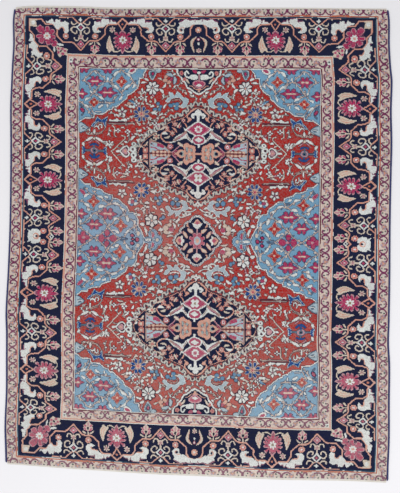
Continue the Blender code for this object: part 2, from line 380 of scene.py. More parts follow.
def clipped_wool_pile():
    """Handspun wool pile, clipped: matt with a faint sheen. Each dye lot runs in paler and darker
    streaks along the wefts, and every knot differs a little from its neighbours."""
    material, tree, surface = new_material("clipped_wool_pile")
    place = add_node(tree, "TexCoord")["Object"]
    dye = add_node(tree, "Attribute", {"attribute_name": "dye"})["Color"]
    tuft = add_node(tree, "Attribute", {"attribute_name": "tuft"})["Fac"]
    knot = add_node(tree, "Attribute", {"attribute_name": "knot"})["Vector"]
    # streaks of the dye lots, 20 to 60 mm apart up the rug and ten times as long across it
    stretched = add_node(tree, "Mapping", Vector=place, Scale=(2.2, 22.0, 1.0))["Vector"]
    streaks = add_node(tree, "TexNoise", Vector=stretched, Scale=1.0, Detail=3.0)["Fac"]
    patches = add_node(tree, "TexNoise", Vector=place, Scale=5.0, Detail=2.0)["Fac"]
    fibres = add_node(tree, "TexNoise", Vector=place, Scale=1500.0, Detail=2.0)["Fac"]
    # the middle of the field has faded, most of all a little left of its centre, and the navy hasn't
    spot = add_node(tree, "VectorMath", {"operation": "SUBTRACT"}, _0=place,
        _1=(-0.16, 0.05, 0.0))["Vector"]
    spot = add_node(tree, "VectorMath", {"operation": "MULTIPLY"}, _0=spot, _1=(0.75, 1.0, 0.0))["Vector"]
    off_middle = add_node(tree, "VectorMath", {"operation": "LENGTH"}, _0=spot)["Value"]
    faded = add_node(tree, "MapRange", {"interpolation_type": "SMOOTHSTEP"}, Value=off_middle,
        From_Min=0.36, From_Max=0.05, To_Min=0.0, To_Max=0.42)["Result"]
    # and towards the foot the whole rug is a little paler
    up_rug = add_node(tree, "SeparateXYZ", Vector=place)["Y"]
    pale = add_node(tree, "MapRange", {"interpolation_type": "SMOOTHSTEP"}, Value=up_rug, From_Min=-0.15,
        From_Max=-0.6, To_Min=0.0, To_Max=0.11)["Result"]
    dyed_red = add_node(tree, "SeparateXYZ", Vector=dye)["X"]
    fades = add_node(tree, "MapRange", Value=dyed_red, From_Min=0.05, From_Max=0.15)["Result"]
    tired = faded
    for part in (patches, fades):
        tired = add_node(tree, "Math", {"operation": "MULTIPLY"}, _0=tired, _1=part)["Value"]
    colour = add_node(tree, "Mix", {"data_type": "RGBA"}, _0=tired, _6=dye, _7=linear("#C9A79E"))[2]
    pale = add_node(tree, "Math", {"operation": "MULTIPLY"}, _0=pale, _1=fades)["Value"]
    colour = add_node(tree, "Mix", {"data_type": "RGBA"}, _0=pale, _6=colour, _7=linear("#E2DACB"))[2]
    bright = add_node(tree, "MapRange", Value=streaks, From_Min=0.3, From_Max=0.7, To_Min=0.90, To_Max=1.10)
    knotwise = add_node(tree, "MapRange", Value=tuft, To_Min=0.88, To_Max=1.12)
    # the yarn itself was dyed unevenly, so its colour shifts every few knots
    mottle = add_node(tree, "TexNoise", Vector=place, Scale=150.0, Detail=2.0)
    uneven = add_node(tree, "MapRange", Value=mottle["Fac"], From_Min=0.3, From_Max=0.7, To_Min=0.88,
        To_Max=1.14)
    red = add_node(tree, "SeparateXYZ", Vector=mottle["Color"])["X"]
    rich = add_node(tree, "MapRange", Value=red, From_Min=0.3, From_Max=0.7, To_Min=0.8,
        To_Max=1.28)["Result"]
    furry = add_node(tree, "MapRange", Value=fibres, From_Min=0.3, From_Max=0.7, To_Min=0.86, To_Max=1.12)
    bright = bright["Result"]
    for part in (knotwise, furry, uneven):
        bright = add_node(tree, "Math", {"operation": "MULTIPLY"}, _0=bright, _1=part["Result"])["Value"]
    colour = add_node(tree, "HueSaturation", Saturation=rich, Value=bright, Color=colour)["Color"]
    # each knot is a small rounded tuft, parted from the next by a shallow crease
    cell = add_node(tree, "VectorMath", {"operation": "FRACTION"}, _0=knot)["Vector"]
    from_middle = add_node(tree, "VectorMath", {"operation": "DISTANCE"}, _0=cell,
        _1=(0.5, 0.5, 0.0))["Value"]
    mound = add_node(tree, "MapRange", {"interpolation_type": "SMOOTHSTEP"}, Value=from_middle,
        From_Min=0.62, From_Max=0.2)["Result"]
    relief = add_node(tree, "Math", {"operation": "MULTIPLY_ADD"}, _0=fibres, _1=0.7, _2=mound)["Value"]
    bump = add_node(tree, "Bump", Strength=0.55, Distance=0.0007, Height=relief)["Normal"]
    wool = add_node(
        tree, "BsdfPrincipled", Base_Color=colour, Roughness=0.92, IOR=1.55, Specular_IOR_Level=0.25,
        Sheen_Weight=0.12, Sheen_Roughness=0.5, Normal=bump,
    )
    tree.links.new(wool["BSDF"], surface)
    return material


wool_pile = clipped_wool_pile()
pile_pieces = []


def knotted(name, chosen):
    """One piece of pile: the knots of the grid that are chosen, one face each, edge to edge with the next."""
    row, column = np.nonzero(chosen)
    index = np.arange(edge_u.size).reshape(edge_u.shape)
    quads = np.stack(
        (index[row, column], index[row, column + 1], index[row + 1, column + 1], index[row + 1, column]), -1
    )
    used, corners = np.unique(quads, return_inverse=True)
    points = np.stack((pile_x.ravel()[used], pile_y.ravel()[used], pile_z.ravel()[used]), -1)
    piece = new_piece(name, points, corners.ravel(), np.arange(len(quads)) * 4, wool_pile)
    mesh = piece.data
    colours = np.array(yarns)[yarn_at(middle_u[row, column], middle_v[row, column])]
    mesh.attributes.new("dye", "FLOAT_COLOR", "FACE").data.foreach_set("color", colours.ravel())
    shades = np.random.default_rng(len(pile_pieces)).uniform(0, 1, len(quads))
    mesh.attributes.new("tuft", "FLOAT", "FACE").data.foreach_set("value", shades)
    cell = np.stack((used % (KNOT_COLUMNS + 1), used // (KNOT_COLUMNS + 1), np.zeros(len(used))), -1)
    mesh.attributes.new("knot", "FLOAT_VECTOR", "POINT").data.foreach_set("vector",
        cell.ravel().astype(float))
    low, high = points.min(0)[:2], points.max(0)[:2]
    spread = ((points[:, :2] - low) / (high - low))[corners.ravel()]
    mesh.uv_layers.new(name="OFBake").data.foreach_set("uv", spread.ravel())
    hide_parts("rug_body")
    pile_pieces.append(piece)


def within(half_width, half_length):
    """Knots inside a rectangle round the rug's middle."""
    return (np.abs(middle_u) < half_width) & (np.abs(middle_v) < half_length)


lay_bands(
    (CAMEL, 740, 900),
    (IVORY, 693.5, 868),
    (BRICK, 693, 866),
    (IVORY, 688, 860),
    (TEAL, 686, 859),
    (NAVY, 681, 856),
)
side_scrolls = (35, 104, 172, 240, 308, 373, 436, 498, 561, 624, 687, 750, 816)  # mm from the middle
end_scrolls = (48, 123, 197, 271, 345, 418, 491, 563, 637)


def guard(sides, ends, p, q, side_turns, end_turns, corner):
    """One guard stripe: scrolls at the given places, each turned in or out, with blossoms between."""
    places = [place(p, at, side=True, high=turn) for at, turn in zip(sides, side_turns)]
    places += [place(at, q, high=turn, wide=1.1) for at, turn in zip(ends, end_turns)]
    places += [place(*corner, turn=-45, wide=0.85)]
    scroll, middle = Motif(*paired(*places)), Motif(*places)
    scroll.shape(OAT, ((5, 2), (8, 10), (14, 9), (16, 3), (19, -4), (16, -9), (9, -8), (5, -3)))
    scroll.stem(WINE, ((29, -8), (24, -12.5), (16, -13.5), (9, -11), (3, -4), (2.5, 5), (6, 12), (12, 14),
        (15, 11), (15, 7)), 6)
    middle.stem(WINE, ((0, -3), (0, 6)), 7)
    scroll.disc(SLATE_GREEN, 15, 5.5, 2.6)
    scroll.disc(SLATE_GREEN, 18, -5.5, 2.8, 3.6)
    middle.disc(SLATE_GREEN, 0, 16, 2.6)
    gaps = [place(p, (a + b) / 2, side=True) for a, b in zip((-sides[0],) + sides, sides + corner[1:])]
    gaps += [place((a + b) / 2, q) for a, b in zip((-ends[0],) + ends, ends + corner[:1])]
    blossom = Motif(*gaps)
    for k in range(6):
        angle = math.radians(30 + 60 * k)
        blossom.disc((LILAC, ROSE)[k % 2], 6.8 * math.cos(angle), 6.8 * math.sin(angle), 4.2)
    blossom.disc(SALMON, 0, 0, 3.6)


guard(side_scrolls, end_scrolls, 709, 883, (-1, 1) + (1, -1) * 6, (1, -1) * 5, (711, 875))
BORDER_OUTSIDE = (681, 856)  # mm from the middle to the border's outer edge, across and along the rug
knotted("pile_outer_guard", ~within(*BORDER_OUTSIDE))

# the sides of the outermost knots, from their clipped tops down to the cloth
index = np.arange(edge_u.size).reshape(edge_u.shape)
ring = np.concatenate((index[0, :-1], index[:-1, -1], index[-1, :0:-1], index[:0:-1, 0]))
round_u, round_v = (np.concatenate((knots[0], knots[:, -1], knots[-1, ::-1],
    knots[::-1, 0])) for knots in (middle_u, middle_v))
count = len(ring)
tops = np.stack((pile_x.ravel()[ring], pile_y.ravel()[ring], pile_z.ravel()[ring]), -1)
feet = tops.copy()
feet[:, 2] = KNOT_FOOT
step = np.arange(count)
after = (step + 1) % count
quads = np.stack((step, step + count, after + count, after), -1)
pile_edge = new_piece("pile_edge", np.vstack((tops, feet)), quads.ravel(), np.arange(count) * 4, wool_pile)
mesh = pile_edge.data
mesh.attributes.new("dye", "FLOAT_COLOR", "FACE").data.foreach_set(
    "color", np.array(yarns)[yarn_at(round_u, round_v)].ravel()
)
mesh.attributes.new("tuft", "FLOAT", "FACE").data.foreach_set(
    "value", np.random.default_rng(20).uniform(0, 1, count)
)
cell = np.stack((ring % (KNOT_COLUMNS + 1), ring // (KNOT_COLUMNS + 1), np.zeros(count)), -1)
cell = np.vstack((cell, cell + (0.5, 0.5, 0)))
mesh.attributes.new("knot", "FLOAT_VECTOR", "POINT").data.foreach_set("vector", cell.ravel())
column, row = (step % 100)[:, None], (step // 100)[:, None]
flat = np.stack(((column + (0.1, 0.1, 0.9, 0.9)) / 100, (row + (0.9, 0.1, 0.1, 0.9)) / 26), -1)
mesh.uv_layers.new(name="OFBake").data.foreach_set("uv", flat.ravel())
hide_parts("rug_body")
pile_pieces.append(pile_edge)

# Main border: wool on navy ground. A salmon vine runs in peaks from cartouche to cartouche and
# turns at each corner, with ivory split leaves, raspberry palmettes, tulips and rosettes along it.
RASPBERRY = dyed("#A03F5E")
PINK = dyed("#B58790")
OLIVE = dyed("#8A7A66")
CREAM = dyed("#C7B9AB")
lay_bands(
    (IVORY, 518.5, 710.3),
    (SALMON, 516, 708),
    (CAMEL, 509.5, 702.5),
)
END_BORDER = 709.0  # mm from the middle to the field edge of the border; the motifs run outward from it
SIDE_BORDER = 519.5


def on_side(q, wide=0.88):
    """Where a border motif lies on the long sides, drawn in along them and a little deeper across."""
    return place(SIDE_BORDER, q, side=True, wide=wide, high=1.1)


def rosette(motif, a, b, r=12.5):
    motif.flower(SALMON, IVORY, a, b, r, 8, core=0.3, deep=0.86)
    for k in range(6):
        angle = math.radians(60 * k)
        motif.disc(RASPBERRY, a + 0.55 * r * math.cos(angle), b + 0.55 * r * math.sin(angle), 2.1)
    motif.disc(IVORY, a, b, 3.4)


def star_blossom(motif, a, b, r=11):
    motif.flower(CREAM, PINK, a, b, r, 6, core=0.3, deep=0.52)
    motif.flower(PINK, OLIVE, a, b, r * 0.62, 6, core=0.4, deep=0.6)


def tulip(motif, a, b):
    """A tulip that opens towards the field, on a stem from (a, b) with a leaf each side."""
    for way in (-1, 1):
        motif.leaf(CREAM, ((a + way * 7, b - 3), (a + way * 15, b - 7), (a + way * 22, b - 13)), 6.5)
        motif.shape(CREAM, ((a, b - 10), (a + way * 7, b - 17), (a + way * 16, b - 19),
            (a + way * 19, b - 25), (a + way * 14, b - 29), (a + way * 19, b - 36), (a + way * 11, b - 38),
            (a + way * 7, b - 44), (a, b - 51)), False)
        motif.disc(PINK, a + way * 12, b - 21, 5.5)
        motif.disc(PINK, a + way * 12, b - 33, 5)
        motif.leaf(RASPBERRY, ((a + way * 5, b - 13), (a + way * 10, b - 18), (a + way * 14, b - 24)), 5.5)
        motif.leaf(RASPBERRY, ((a + way * 6, b - 28), (a + way * 11, b - 32), (a + way * 14, b - 35)), 5)
    motif.leaf(PINK, ((a, b - 30), (a, b - 38), (a, b - 46)), 8)
    motif.disc(NAVY, a, b - 22, 4, 7)
    motif.stem(CREAM, ((a, b), (a, b - 12)), 4)


# cartouches: the vine, the crown and shield, and a tulip and rosette on each shoulder
cartouches = [place(129, END_BORDER), place(465, END_BORDER)]
cartouches += [on_side(q) for q in (71, 371, 666)]
shoulder, crown = Motif(*paired(*cartouches)), Motif(*cartouches)
whole = [place(129, END_BORDER), place(129, END_BORDER, wide=-1), place(465, END_BORDER, wide=-1)]
whole += [on_side(q, wide) for q, wide in ((71, 0.88), (371, 0.88), (371, -0.88), (666, -0.88))]
outline = Motif(*whole)  # at a corner and at the middle of a side the outline goes another way
shoulder.stem(SALMON, ((84, 144.5), (34, 145), (11, 124), (0, 117)), 4.5, False)
shoulder.disc(CREAM, 51, 141, 3)
outline.stem(SALMON, ((0, 15), (31, 51), (40, 55), (68, 55), (97, 80), (98, 102), (108, 119)), 5, False)
shoulder.stem(CREAM, ((12, 124), (19, 118), (28, 115.5), (35, 119), (37, 127)), 4.4)
crown.shape(IVORY, ((0, 144), (3.5, 138), (9.5, 134.5), (3.5, 131), (0, 125), (-3.5, 131), (-9.5, 134.5),
    (-3.5, 138)), False)
shoulder.stem(CREAM, ((17.5, 104), (28, 106), (36, 97), (32, 86), (22, 81), (14, 86), (16, 92)), 4.6)
crown.shape(IVORY, ((0, 122), (19, 105), (5, 90), (0, 76), (-5, 90), (-19, 105)), False)
crown.shape(NAVY, ((0, 115), (11.5, 105), (0, 94), (-11.5, 105)), False)
crown.shape(RASPBERRY, ((0, 111), (6.5, 104.5), (0, 98), (-6.5, 104.5)), False)
crown.stem(CREAM, ((0, 90), (0, 66)), 5)
shoulder.stem(CREAM, ((5, 62), (13, 54), (21, 54), (26, 64)), 4.6)
shoulder.disc(CREAM, 25.5, 64, 3)
star_blossom(crown, 0, 68, 11)
crown.shape(RASPBERRY, ((0, 52.5), (13, 39.5), (0, 26.5), (-13, 39.5)), False, PINK, 3.4)
crown.disc(PINK, 0, 39.5, 5)
crown.disc(IVORY, 0, 39.5, 2.6)
for motif in (outline, Motif(on_side(71, -0.88))):
    rosette(motif, 57, 73)
    tulip(motif, 56, 51)

# split leaves between a cartouche and the palmette beside it
toward = [place(129, END_BORDER), place(465, END_BORDER, wide=-1)]
toward += [on_side(q) for q in (71, 371)]
toward += [on_side(q, -0.88) for q in (371, 666)]
split_leaf = Motif(*toward)
split_leaf.stem(SALMON, ((107, 117), (113, 120), (142, 120.5), (152, 129), (169, 144)), 5, False)
split_leaf.shape(WINE, ((146, 126), (136, 135), (127, 135), (123, 145), (116, 137), (110, 145), (82, 147),
    (79, 136), (62, 134), (60, 128), (80, 126), (120, 126)), False)
split_leaf.shape(IVORY, ((146, 123.5), (136, 132), (126, 131), (122.5, 142), (117, 132), (110, 141),
    (84, 144), (81, 132), (68, 130), (55, 131), (54, 119), (46, 108), (47, 97), (54, 88.5), (68, 86.5),
    (83, 92), (74, 95), (69, 101), (71, 107), (81, 110), (93, 111), (101, 118), (109, 123)), False)
split_leaf.stem(SALMON, ((90, 110), (80, 108.5), (72, 108), (67, 103), (68, 97)), 4)
split_leaf.stem(WINE, ((81, 133), (78, 127)), 3)
split_leaf.stem(WINE, ((117, 133), (114, 128)), 3)

# middle of each end, where two split leaves meet over a star flower
end_middle = Motif(*paired(place(0, END_BORDER)))
end_middle.stem(SALMON, ((31, 103), (28, 112), (18, 121), (0, 125)), 5)
end_middle.shape(WINE, ((0, 142), (14, 145), (30, 141), (52, 145), (66, 138), (80, 130), (60, 124)), False)
end_middle.shape(IVORY, ((0, 122), (20, 121), (32, 114), (44, 108), (50, 110), (58, 100), (56, 92),
    (62, 86), (76, 87), (84, 96), (83, 108), (75, 119), (78, 128), (64, 132), (52, 141), (32, 136),
    (16, 141), (0, 138)), False)
end_middle.disc(NAVY, 66, 101, 5)
end_middle.stem(SALMON, ((56, 108), (64, 110), (72, 106), (73, 98), (66, 94)), 3.4)
end_middle.stem(WINE, ((16, 141), (13, 132)), 3)
end_middle.flower(SALMON, IVORY, 0, 99, 12, 8, core=0.34)
end_middle.leaf(CREAM, ((8, 72), (22, 60), (27, 44), (18, 13)), 11)
end_middle.stem(SALMON, ((12, 68), (20, 58), (23, 44), (18, 22)), 2.8)
end_middle.disc(IVORY, 0, 63, 4, 5, RASPBERRY, 2)
end_middle.disc(IVORY, 0, 48, 4, 5)
star_blossom(end_middle, 0, 20, 10)

# middle of each side, where there is only room for the leaves back to back
side_middle = Motif(*paired(on_side(0, 1.0)))
side_middle.stem(SALMON, ((71, 15), (44, 51), (36, 54), (12, 50), (0, 60)), 5, False)
side_middle.stem(SALMON, ((0, 145), (60, 144)), 4.5, False)
side_middle.shape(IVORY, ((0, 51), (9, 42), (0, 33)), False)
side_middle.disc(NAVY, 0, 42, 4)
side_middle.shape(IVORY, ((0, 127), (17, 126), (25, 131), (20, 118), (26, 116), (28, 101), (21, 85),
    (12, 82), (5, 83), (3, 90), (0, 90)))
side_middle.disc(SALMON, 0, 100, 12, 11)
side_middle.disc(IVORY, 0, 102, 7, 6)
side_middle.disc(NAVY, 0, 98, 4.5)

# palmettes between sickle leaves
palmettes = [place(298, END_BORDER)]
palmettes += [on_side(q, 0.92) for q in (221, 518)]
sickle, palmette = Motif(*paired(*palmettes)), Motif(*palmettes)
sickle.stem(SALMON, ((0, 144), (18, 127), (24, 121)), 5, False)
sickle.stem(SALMON, ((18, 126), (0, 97)), 4.6, False)
palmette.disc(BRICK, 0, 121, 4)
sickle.shape(CREAM, ((51, 76), (61, 58), (66, 41), (62, 25), (53, 10), (45, 17), (32, 20), (39, 36),
    (46, 54)))
sickle.stem(SALMON, ((53, 62), (59, 44), (56, 28), (47, 20)), 2.9)
sickle.stem(SALMON, ((51, 48), (50, 36), (43, 26)), 2.9)
sickle.stem(CREAM, ((37, 16), (22, 14), (8, 22)), 4)
star_blossom(sickle, 40, 100, 11.5)
PETALS = ((0, 98), (7, 96), (10, 91), (16, 89), (16, 79), (23, 82), (27, 91), (37, 90), (38, 83), (31, 78),
    (19, 72), (37, 72), (43, 66), (39, 62), (20, 60), (38, 57), (43, 51), (38, 46), (20, 49), (35, 41),
    (38, 33), (30, 31), (17, 39), (26, 27), (21, 22), (11, 31), (8, 26), (8, 16), (0, 7))
for yarn, size in ((PINK, 1.0), (RASPBERRY, 0.86)):
    edge = [(a * size * 0.86, 60 + (b - 60) * size) for a, b in PETALS]
    palmette.shape(yarn, edge + [(-a, b) for a, b in edge[-2:0:-1]], False)
for gap in (
    ((19, 73), (28, 78)), ((22, 60), (34, 59)), ((20, 47), (33, 43)), ((15, 38), (25, 28)),
    ((13, 78), (14, 87)),
):
    sickle.stem(NAVY, gap, 2.8)
palmette.stem(WINE, ((-6, 86), (0, 91), (6, 86)), 3)
palmette.stem(WINE, ((0, 16), (0, 26)), 4)
palmette.flower(IVORY, OLIVE, 0, 60, 15, 7, core=0.36, deep=0.56)

# corners: a slanting palmette, two split leaves and a tulip that points at the field
corner = Motif(place(0, 0))
corner.stem(SALMON, ((536, 666), (574, 692), (574, 713), (600, 737), (630, 737), (649, 758), (649, 781),
    (667, 800), (667, 845), (620, 845), (602, 825), (574, 825), (559, 807), (559, 780), (535, 756),
    (505, 757), (495, 754), (465, 724)), 5, False)
corner.shape(CREAM, ((667, 845), (638, 845), (638, 817), (667, 817)), False)
corner.shape(NAVY, ((644, 841), (638, 841), (638, 822)), False)
corner.disc(IVORY, 653, 832, 8)
corner.shape(IVORY, ((602, 837), (593, 836), (589, 840), (578, 847), (573, 842), (572, 835), (566, 835),
    (562, 846), (551, 843), (545, 846), (545, 836), (533, 835), (527, 839), (512, 830), (515, 818),
    (511, 809), (510, 800), (517, 791), (527, 791), (533, 797), (530, 802), (530, 809), (536, 812),
    (545, 810), (552, 802), (558, 804), (567, 813), (573, 825), (589, 829), (598, 829)), False)
corner.shape(IVORY, ((666, 788), (657, 785), (654, 773), (652, 759), (644, 751), (633, 738), (637, 728),
    (633, 720), (630, 713), (622, 711), (616, 715), (616, 705), (622, 698), (633, 695), (642, 700),
    (648, 705), (658, 702), (661, 717), (656, 724), (663, 731), (671, 728), (669, 738), (671, 745),
    (661, 747), (662, 754), (671, 760), (670, 766), (667, 770)), False)
corner.stem(SALMON, ((552, 803), (545, 811), (536, 812), (530, 806), (531, 799)), 3.6)
corner.stem(SALMON, ((637, 730), (632, 719), (626, 712), (617, 713)), 3.6)
for tooth in (
    ((566, 840), (569, 834)), ((540, 840), (542, 834)), ((665, 756), (659, 756)), ((662, 728), (657, 722)),
):
    corner.stem(WINE, tooth, 3)
rosette(corner, 524, 779, 12)
rosette(corner, 598, 701, 12.5)
corner_petals = ((623, 806, 15, 13, 45), (597, 806, 8, 13, 0), (580, 795, 11, 10, -35),
    (576, 774, 11, 9, 0), (594, 754, 9, 13, -15), (620, 760, 10, 11, 30), (629, 778, 12, 9, 0),
    (567, 748, 9, 14, 45))
for yarn, less in ((PINK, 0), (RASPBERRY, 2.6)):
    for p, q, half_width, half_height, turn in corner_petals:
        wide, high = half_width - less, half_height - less
        Motif(place(p, q, turn)).shape(yarn, ((-wide, high - 4), (0, high), (wide, high - 4),
            (wide, 3 - high), (0, -high), (-wide, 3 - high)))
corner.disc(RASPBERRY, 599, 779, 22)
corner.stem(RASPBERRY, ((612, 794), (586, 766), (568, 748)), 10, False)
for angle in (22, 70, 117, 166, 206, 242, 288, 338):
    a, b = math.cos(math.radians(angle)), math.sin(math.radians(angle))
    corner.stem(WINE, ((599 + 19 * a, 779 + 19 * b), (599 + 36 * a, 779 + 36 * b)), 3.4)
corner.flower(IVORY, SALMON, 599, 778, 15, 8, core=0.34, deep=0.62)
slanting = Motif(place(599, 778, turn=-45))
slanting.stem(WINE, ((0, 24), (0, 32)), 4)
slanting.stem(WINE, ((0, -34), (0, -42)), 3.4)
corner.leaf(IVORY, ((558, 750), (545, 746), (531, 744)), 9)
corner.leaf(IVORY, ((570, 737), (569, 727), (567, 716)), 7)
corner.shape(CREAM, ((560, 739), (547, 738), (533, 733), (515, 727), (520, 718), (516, 705), (530, 706),
    (545, 699), (552, 704), (557, 714), (560, 727)))
for p, q, r, tall in (
    (552, 730, 5, 6), (537, 729, 7, 4), (552, 715, 5, 5), (535, 710, 6, 5), (527, 721, 5, 4),
):
    corner.disc(RASPBERRY, p, q, r, tall, PINK, 2.8)
Motif(place(542, 720, turn=45)).disc(NAVY, 0, 0, 3, 6)
BORDER_INSIDE = (519.5, 711)
border = within(*BORDER_OUTSIDE) & ~within(*BORDER_INSIDE)
beside = border & (np.abs(middle_v) < BORDER_INSIDE[1])
knotted("pile_border_head", border & (middle_v > BORDER_INSIDE[1]))
knotted("pile_border_foot", border & (middle_v < -BORDER_INSIDE[1]))
knotted("pile_border_left", beside & (middle_u < 0))
knotted("pile_border_right", beside & (middle_u > 0))

# Inner guard stripe: the outer one again, whole on all four sides, with a small square device in
# each corner and a maroon, an ivory and a salmon line against the field.
lay_bands(
    (MAROON, 472, 668),
    (IVORY, 467.5, 663.5),
    (SALMON, 465, 661),
    (MADDER, 463.5, 659.5),
)
side_scrolls = (34, 101, 168, 236, 301, 364, 430, 492, 555, 618)
guard(side_scrolls, (44, 120, 195, 270, 345, 418), 491, 685, (-1, 1) * 5, (-1, 1) * 3, (485, 677))
corner = Motif(place(0, 0))
corner.shape(IVORY, ((495, 681), (508, 681), (508, 697), (495, 697)), False)
corner.disc(SLATE_GREEN, 502, 690, 3)
FIELD_EDGE = (472.5, 668)
knotted("pile_inner_guard", within(*BORDER_INSIDE) & ~within(*FIELD_EDGE))

# Field: madder red wool. Pale blue corners and side panels with a thin trellis stand round two navy
# medallions that meet at a small one in the middle, and vines of small flowers fill the red.
SKY = dyed("#739AB5")
PALE_BLUE = dyed("#A0B2BC")
INDIGO = dyed("#1E4682")
BLUE = dyed("#5A84A6")
CRIMSON = dyed("#A03A3A")
APRICOT = dyed("#C5998A")
GREY = dyed("#9A918C")
SLATE = dyed("#566678")
AUBERGINE = dyed("#402A38")
DARK_SLATE = dyed("#3C4A66")
CORAL = dyed("#B5766F")
field = Motif(place(0, 5))


def lobes(yarn, spots, edge=None, spread=3.0):
    """Petals of one flower: middle, half width, half height and turn of each."""
    for grow, colour in ((spread, edge), (0, yarn)):
        if colour is not None:
            for a, b, r, tall, *turn in spots:
                t = np.linspace(0, 2 * np.pi, 13)[:-1]
                angle = math.radians(turn[0] if turn else 0)
                c, s = math.cos(angle), math.sin(angle)
                x, y = (r + grow) * np.cos(t), (tall + grow) * np.sin(t)
                field.shape(colour, np.stack((a + c * x - s * y, b + s * x + c * y), 1))


def leaves(yarn, sprigs):
    """Narrow leaves: start, end and breadth of each."""
    for a0, b0, a1, b1, width in sprigs:
        middle = ((a0 + a1) / 2 + (b1 - b0) * 0.10, (b0 + b1) / 2 - (a1 - a0) * 0.10)
        field.leaf(yarn, ((a0, b0), middle, (a1, b1)), width)


def vine(line, stem=GREY, kinds=(IVORY, IVORY, GREY), width=3.2, every=15, reach=8):
    """A thin stem with small leaves springing from it on either side in turn."""
    field.stem(stem, line, width)
    path = curve(line)
    run = np.concatenate(((0,), np.cumsum(np.hypot(*np.diff(path, axis=0).T))))
    for k, at in enumerate(np.arange(every / 2, run[-1], every)):
        a, b = np.interp(at, run, path[:, 0]), np.interp(at, run, path[:, 1])
        ahead = np.interp(at + 3, run, path[:, 0]) - a, np.interp(at + 3, run, path[:, 1]) - b
        size = reach / max(math.hypot(*ahead), 0.1)
        side = (-1, 1)[k % 2]
        tip = a + size * (0.6 * ahead[0] - side * ahead[1]), b + size * (0.6 * ahead[1] + side * ahead[0])
        field.leaf(kinds[k % 3], ((a, b), ((a + tip[0]) / 2, (b + tip[1]) / 2), tip), 5)


def bloom(a, b, wide=1.0, tall=1.0):
    """A raspberry flower with two joined hearts: pointed petals to the sides, round ones between."""
    flower = Motif(*(place(a, b + 5, high=tall * high,
        wide=wide * way) for way in (1, -1) for high in (1, -1)))
    for yarn, grow in ((WINE, 1.6), (RASPBERRY, 0)):
        flower.shape(yarn, ((0, 4 + grow), (3 - grow, 9), (4 - grow, 16), (9, 20 + grow), (14 + grow, 16),
            (12 + grow, 10), (11, 5), (16, 8 + grow), (21, 4 + grow), (30 + 1.5 * grow, 0), (0, -1)), False)
    flower.disc(PINK, 9, 0, 6.5, 3.6)
    flower.stem(CREAM, ((0, 0), (13, 0)), 3)
    flower.disc(CREAM, 9, 0, 4.5, 3.4)


def four_petals(a, b, reach=19, yarn=CRIMSON, edge=SALMON):
    """A red flower of four pointed petals."""
    for colour, grow in ((edge, 2), (yarn, 0)):
        for k in range(4):
            Motif(place(a, b + 5, 90 * k)).shape(colour, ((0, 0), (7 + grow, -6 - grow), (12, -7 - grow),
                (reach + 1.6 * grow, 0), (12, 7 + grow), (7 + grow, 6 + grow)), False)
    field.disc(SALMON, a, b, 5)
    field.disc(CREAM, a, b, 3.4)


def posy(a, b, yarn=IVORY, heart=WINE, reach=15, turn=0):
    """A small flower of five pointed petals, as loose as they come between the vines."""
    for k in range(5):
        petal = Motif(place(a, b + 5, turn + 72 * k))
        petal.shape(yarn, ((3, 0), (reach * 0.55, -5.4), (reach, 0), (reach * 0.6, 5.4)), False, GREY, 1.2)
    field.disc(heart, a, b, 3.6)


# pale blue corners; the bands keep their own knots where a flower runs out of the field
bands = chart.copy()
field.shape(SKY, ((474, 666), (204, 666), (205, 652), (214, 638), (217, 622), (231, 620), (233, 600),
    (237, 585), (250, 568), (262, 560), (273, 555), (277, 541), (288, 532), (305, 517), (315, 508),
    (330, 505), (334, 497), (350, 493), (360, 484), (370, 478), (403, 477), (406, 462), (438, 460),
    (450, 452), (463, 443), (474, 436)), False, IVORY, 3.6)
for line in (
    ((456, 607), (440, 601), (427, 590), (420, 574)),
    ((448, 612), (437, 620), (424, 634), (410, 646), (398, 646), (388, 634), (372, 622), (366, 612),
     (372, 600), (386, 586), (398, 570), (405, 560)),
    ((406, 574), (406, 560), (418, 548), (427, 534)),
    ((403, 554), (388, 546), (372, 540)),
    ((366, 604), (352, 606), (340, 598), (332, 580)),
    ((398, 524), (380, 522), (350, 522), (326, 524)),
    ((330, 534), (320, 544), (316, 552)),
    ((302, 652), (288, 640), (270, 628), (256, 612), (244, 596), (238, 586)),
    ((302, 652), (316, 642), (334, 622), (338, 604), (326, 588), (308, 572), (297, 562), (295, 550)),
    ((297, 562), (286, 576), (266, 590), (258, 604)),
    ((462, 522), (448, 514), (436, 500), (420, 482), (412, 470)),
    ((424, 512), (410, 490), (404, 480)),
):
    vine(line, ASHES, (CREAM, SLATE, PALE_BLUE), 3.6, 15, 7)
bloom(405, 606)
bloom(353, 562, 1.28)
four_petals(405, 522, 17)
four_petals(300, 606, 21)
bloom(461, 554)
bloom(449, 657)
bloom(355, 657)
lobes(IVORY, ((258, 649, 18, 11, -30),))
lobes(RASPBERRY, ((258, 650, 12, 6, -30),))
lobes(RASPBERRY, ((449, 490, 9, 4.5, 50),), NAVY, 2)
leaves(IVORY, ((440, 529, 424, 538, 9), (442, 510, 424, 500, 9), (387, 544, 366, 533, 10),
    (387, 501, 368, 512, 9), (332, 626, 314, 646, 11), (328, 591, 313, 577, 9), (288, 576, 266, 594, 9),
    (284, 639, 265, 622, 8), (297, 551, 306, 533, 9), (250, 600, 256, 582, 7), (421, 566, 414, 558, 7),
    (356, 624, 355, 611, 6), (352, 516, 350, 504, 6), (404, 643, 402, 635, 6)))
field.stem(IVORY, ((397, 487), (376, 487)), 3.6)
leaves(SLATE, ((457, 512, 455, 500, 6), (452, 468, 444, 478, 6), (372, 527, 362, 520, 6),
    (340, 632, 330, 622, 6)))

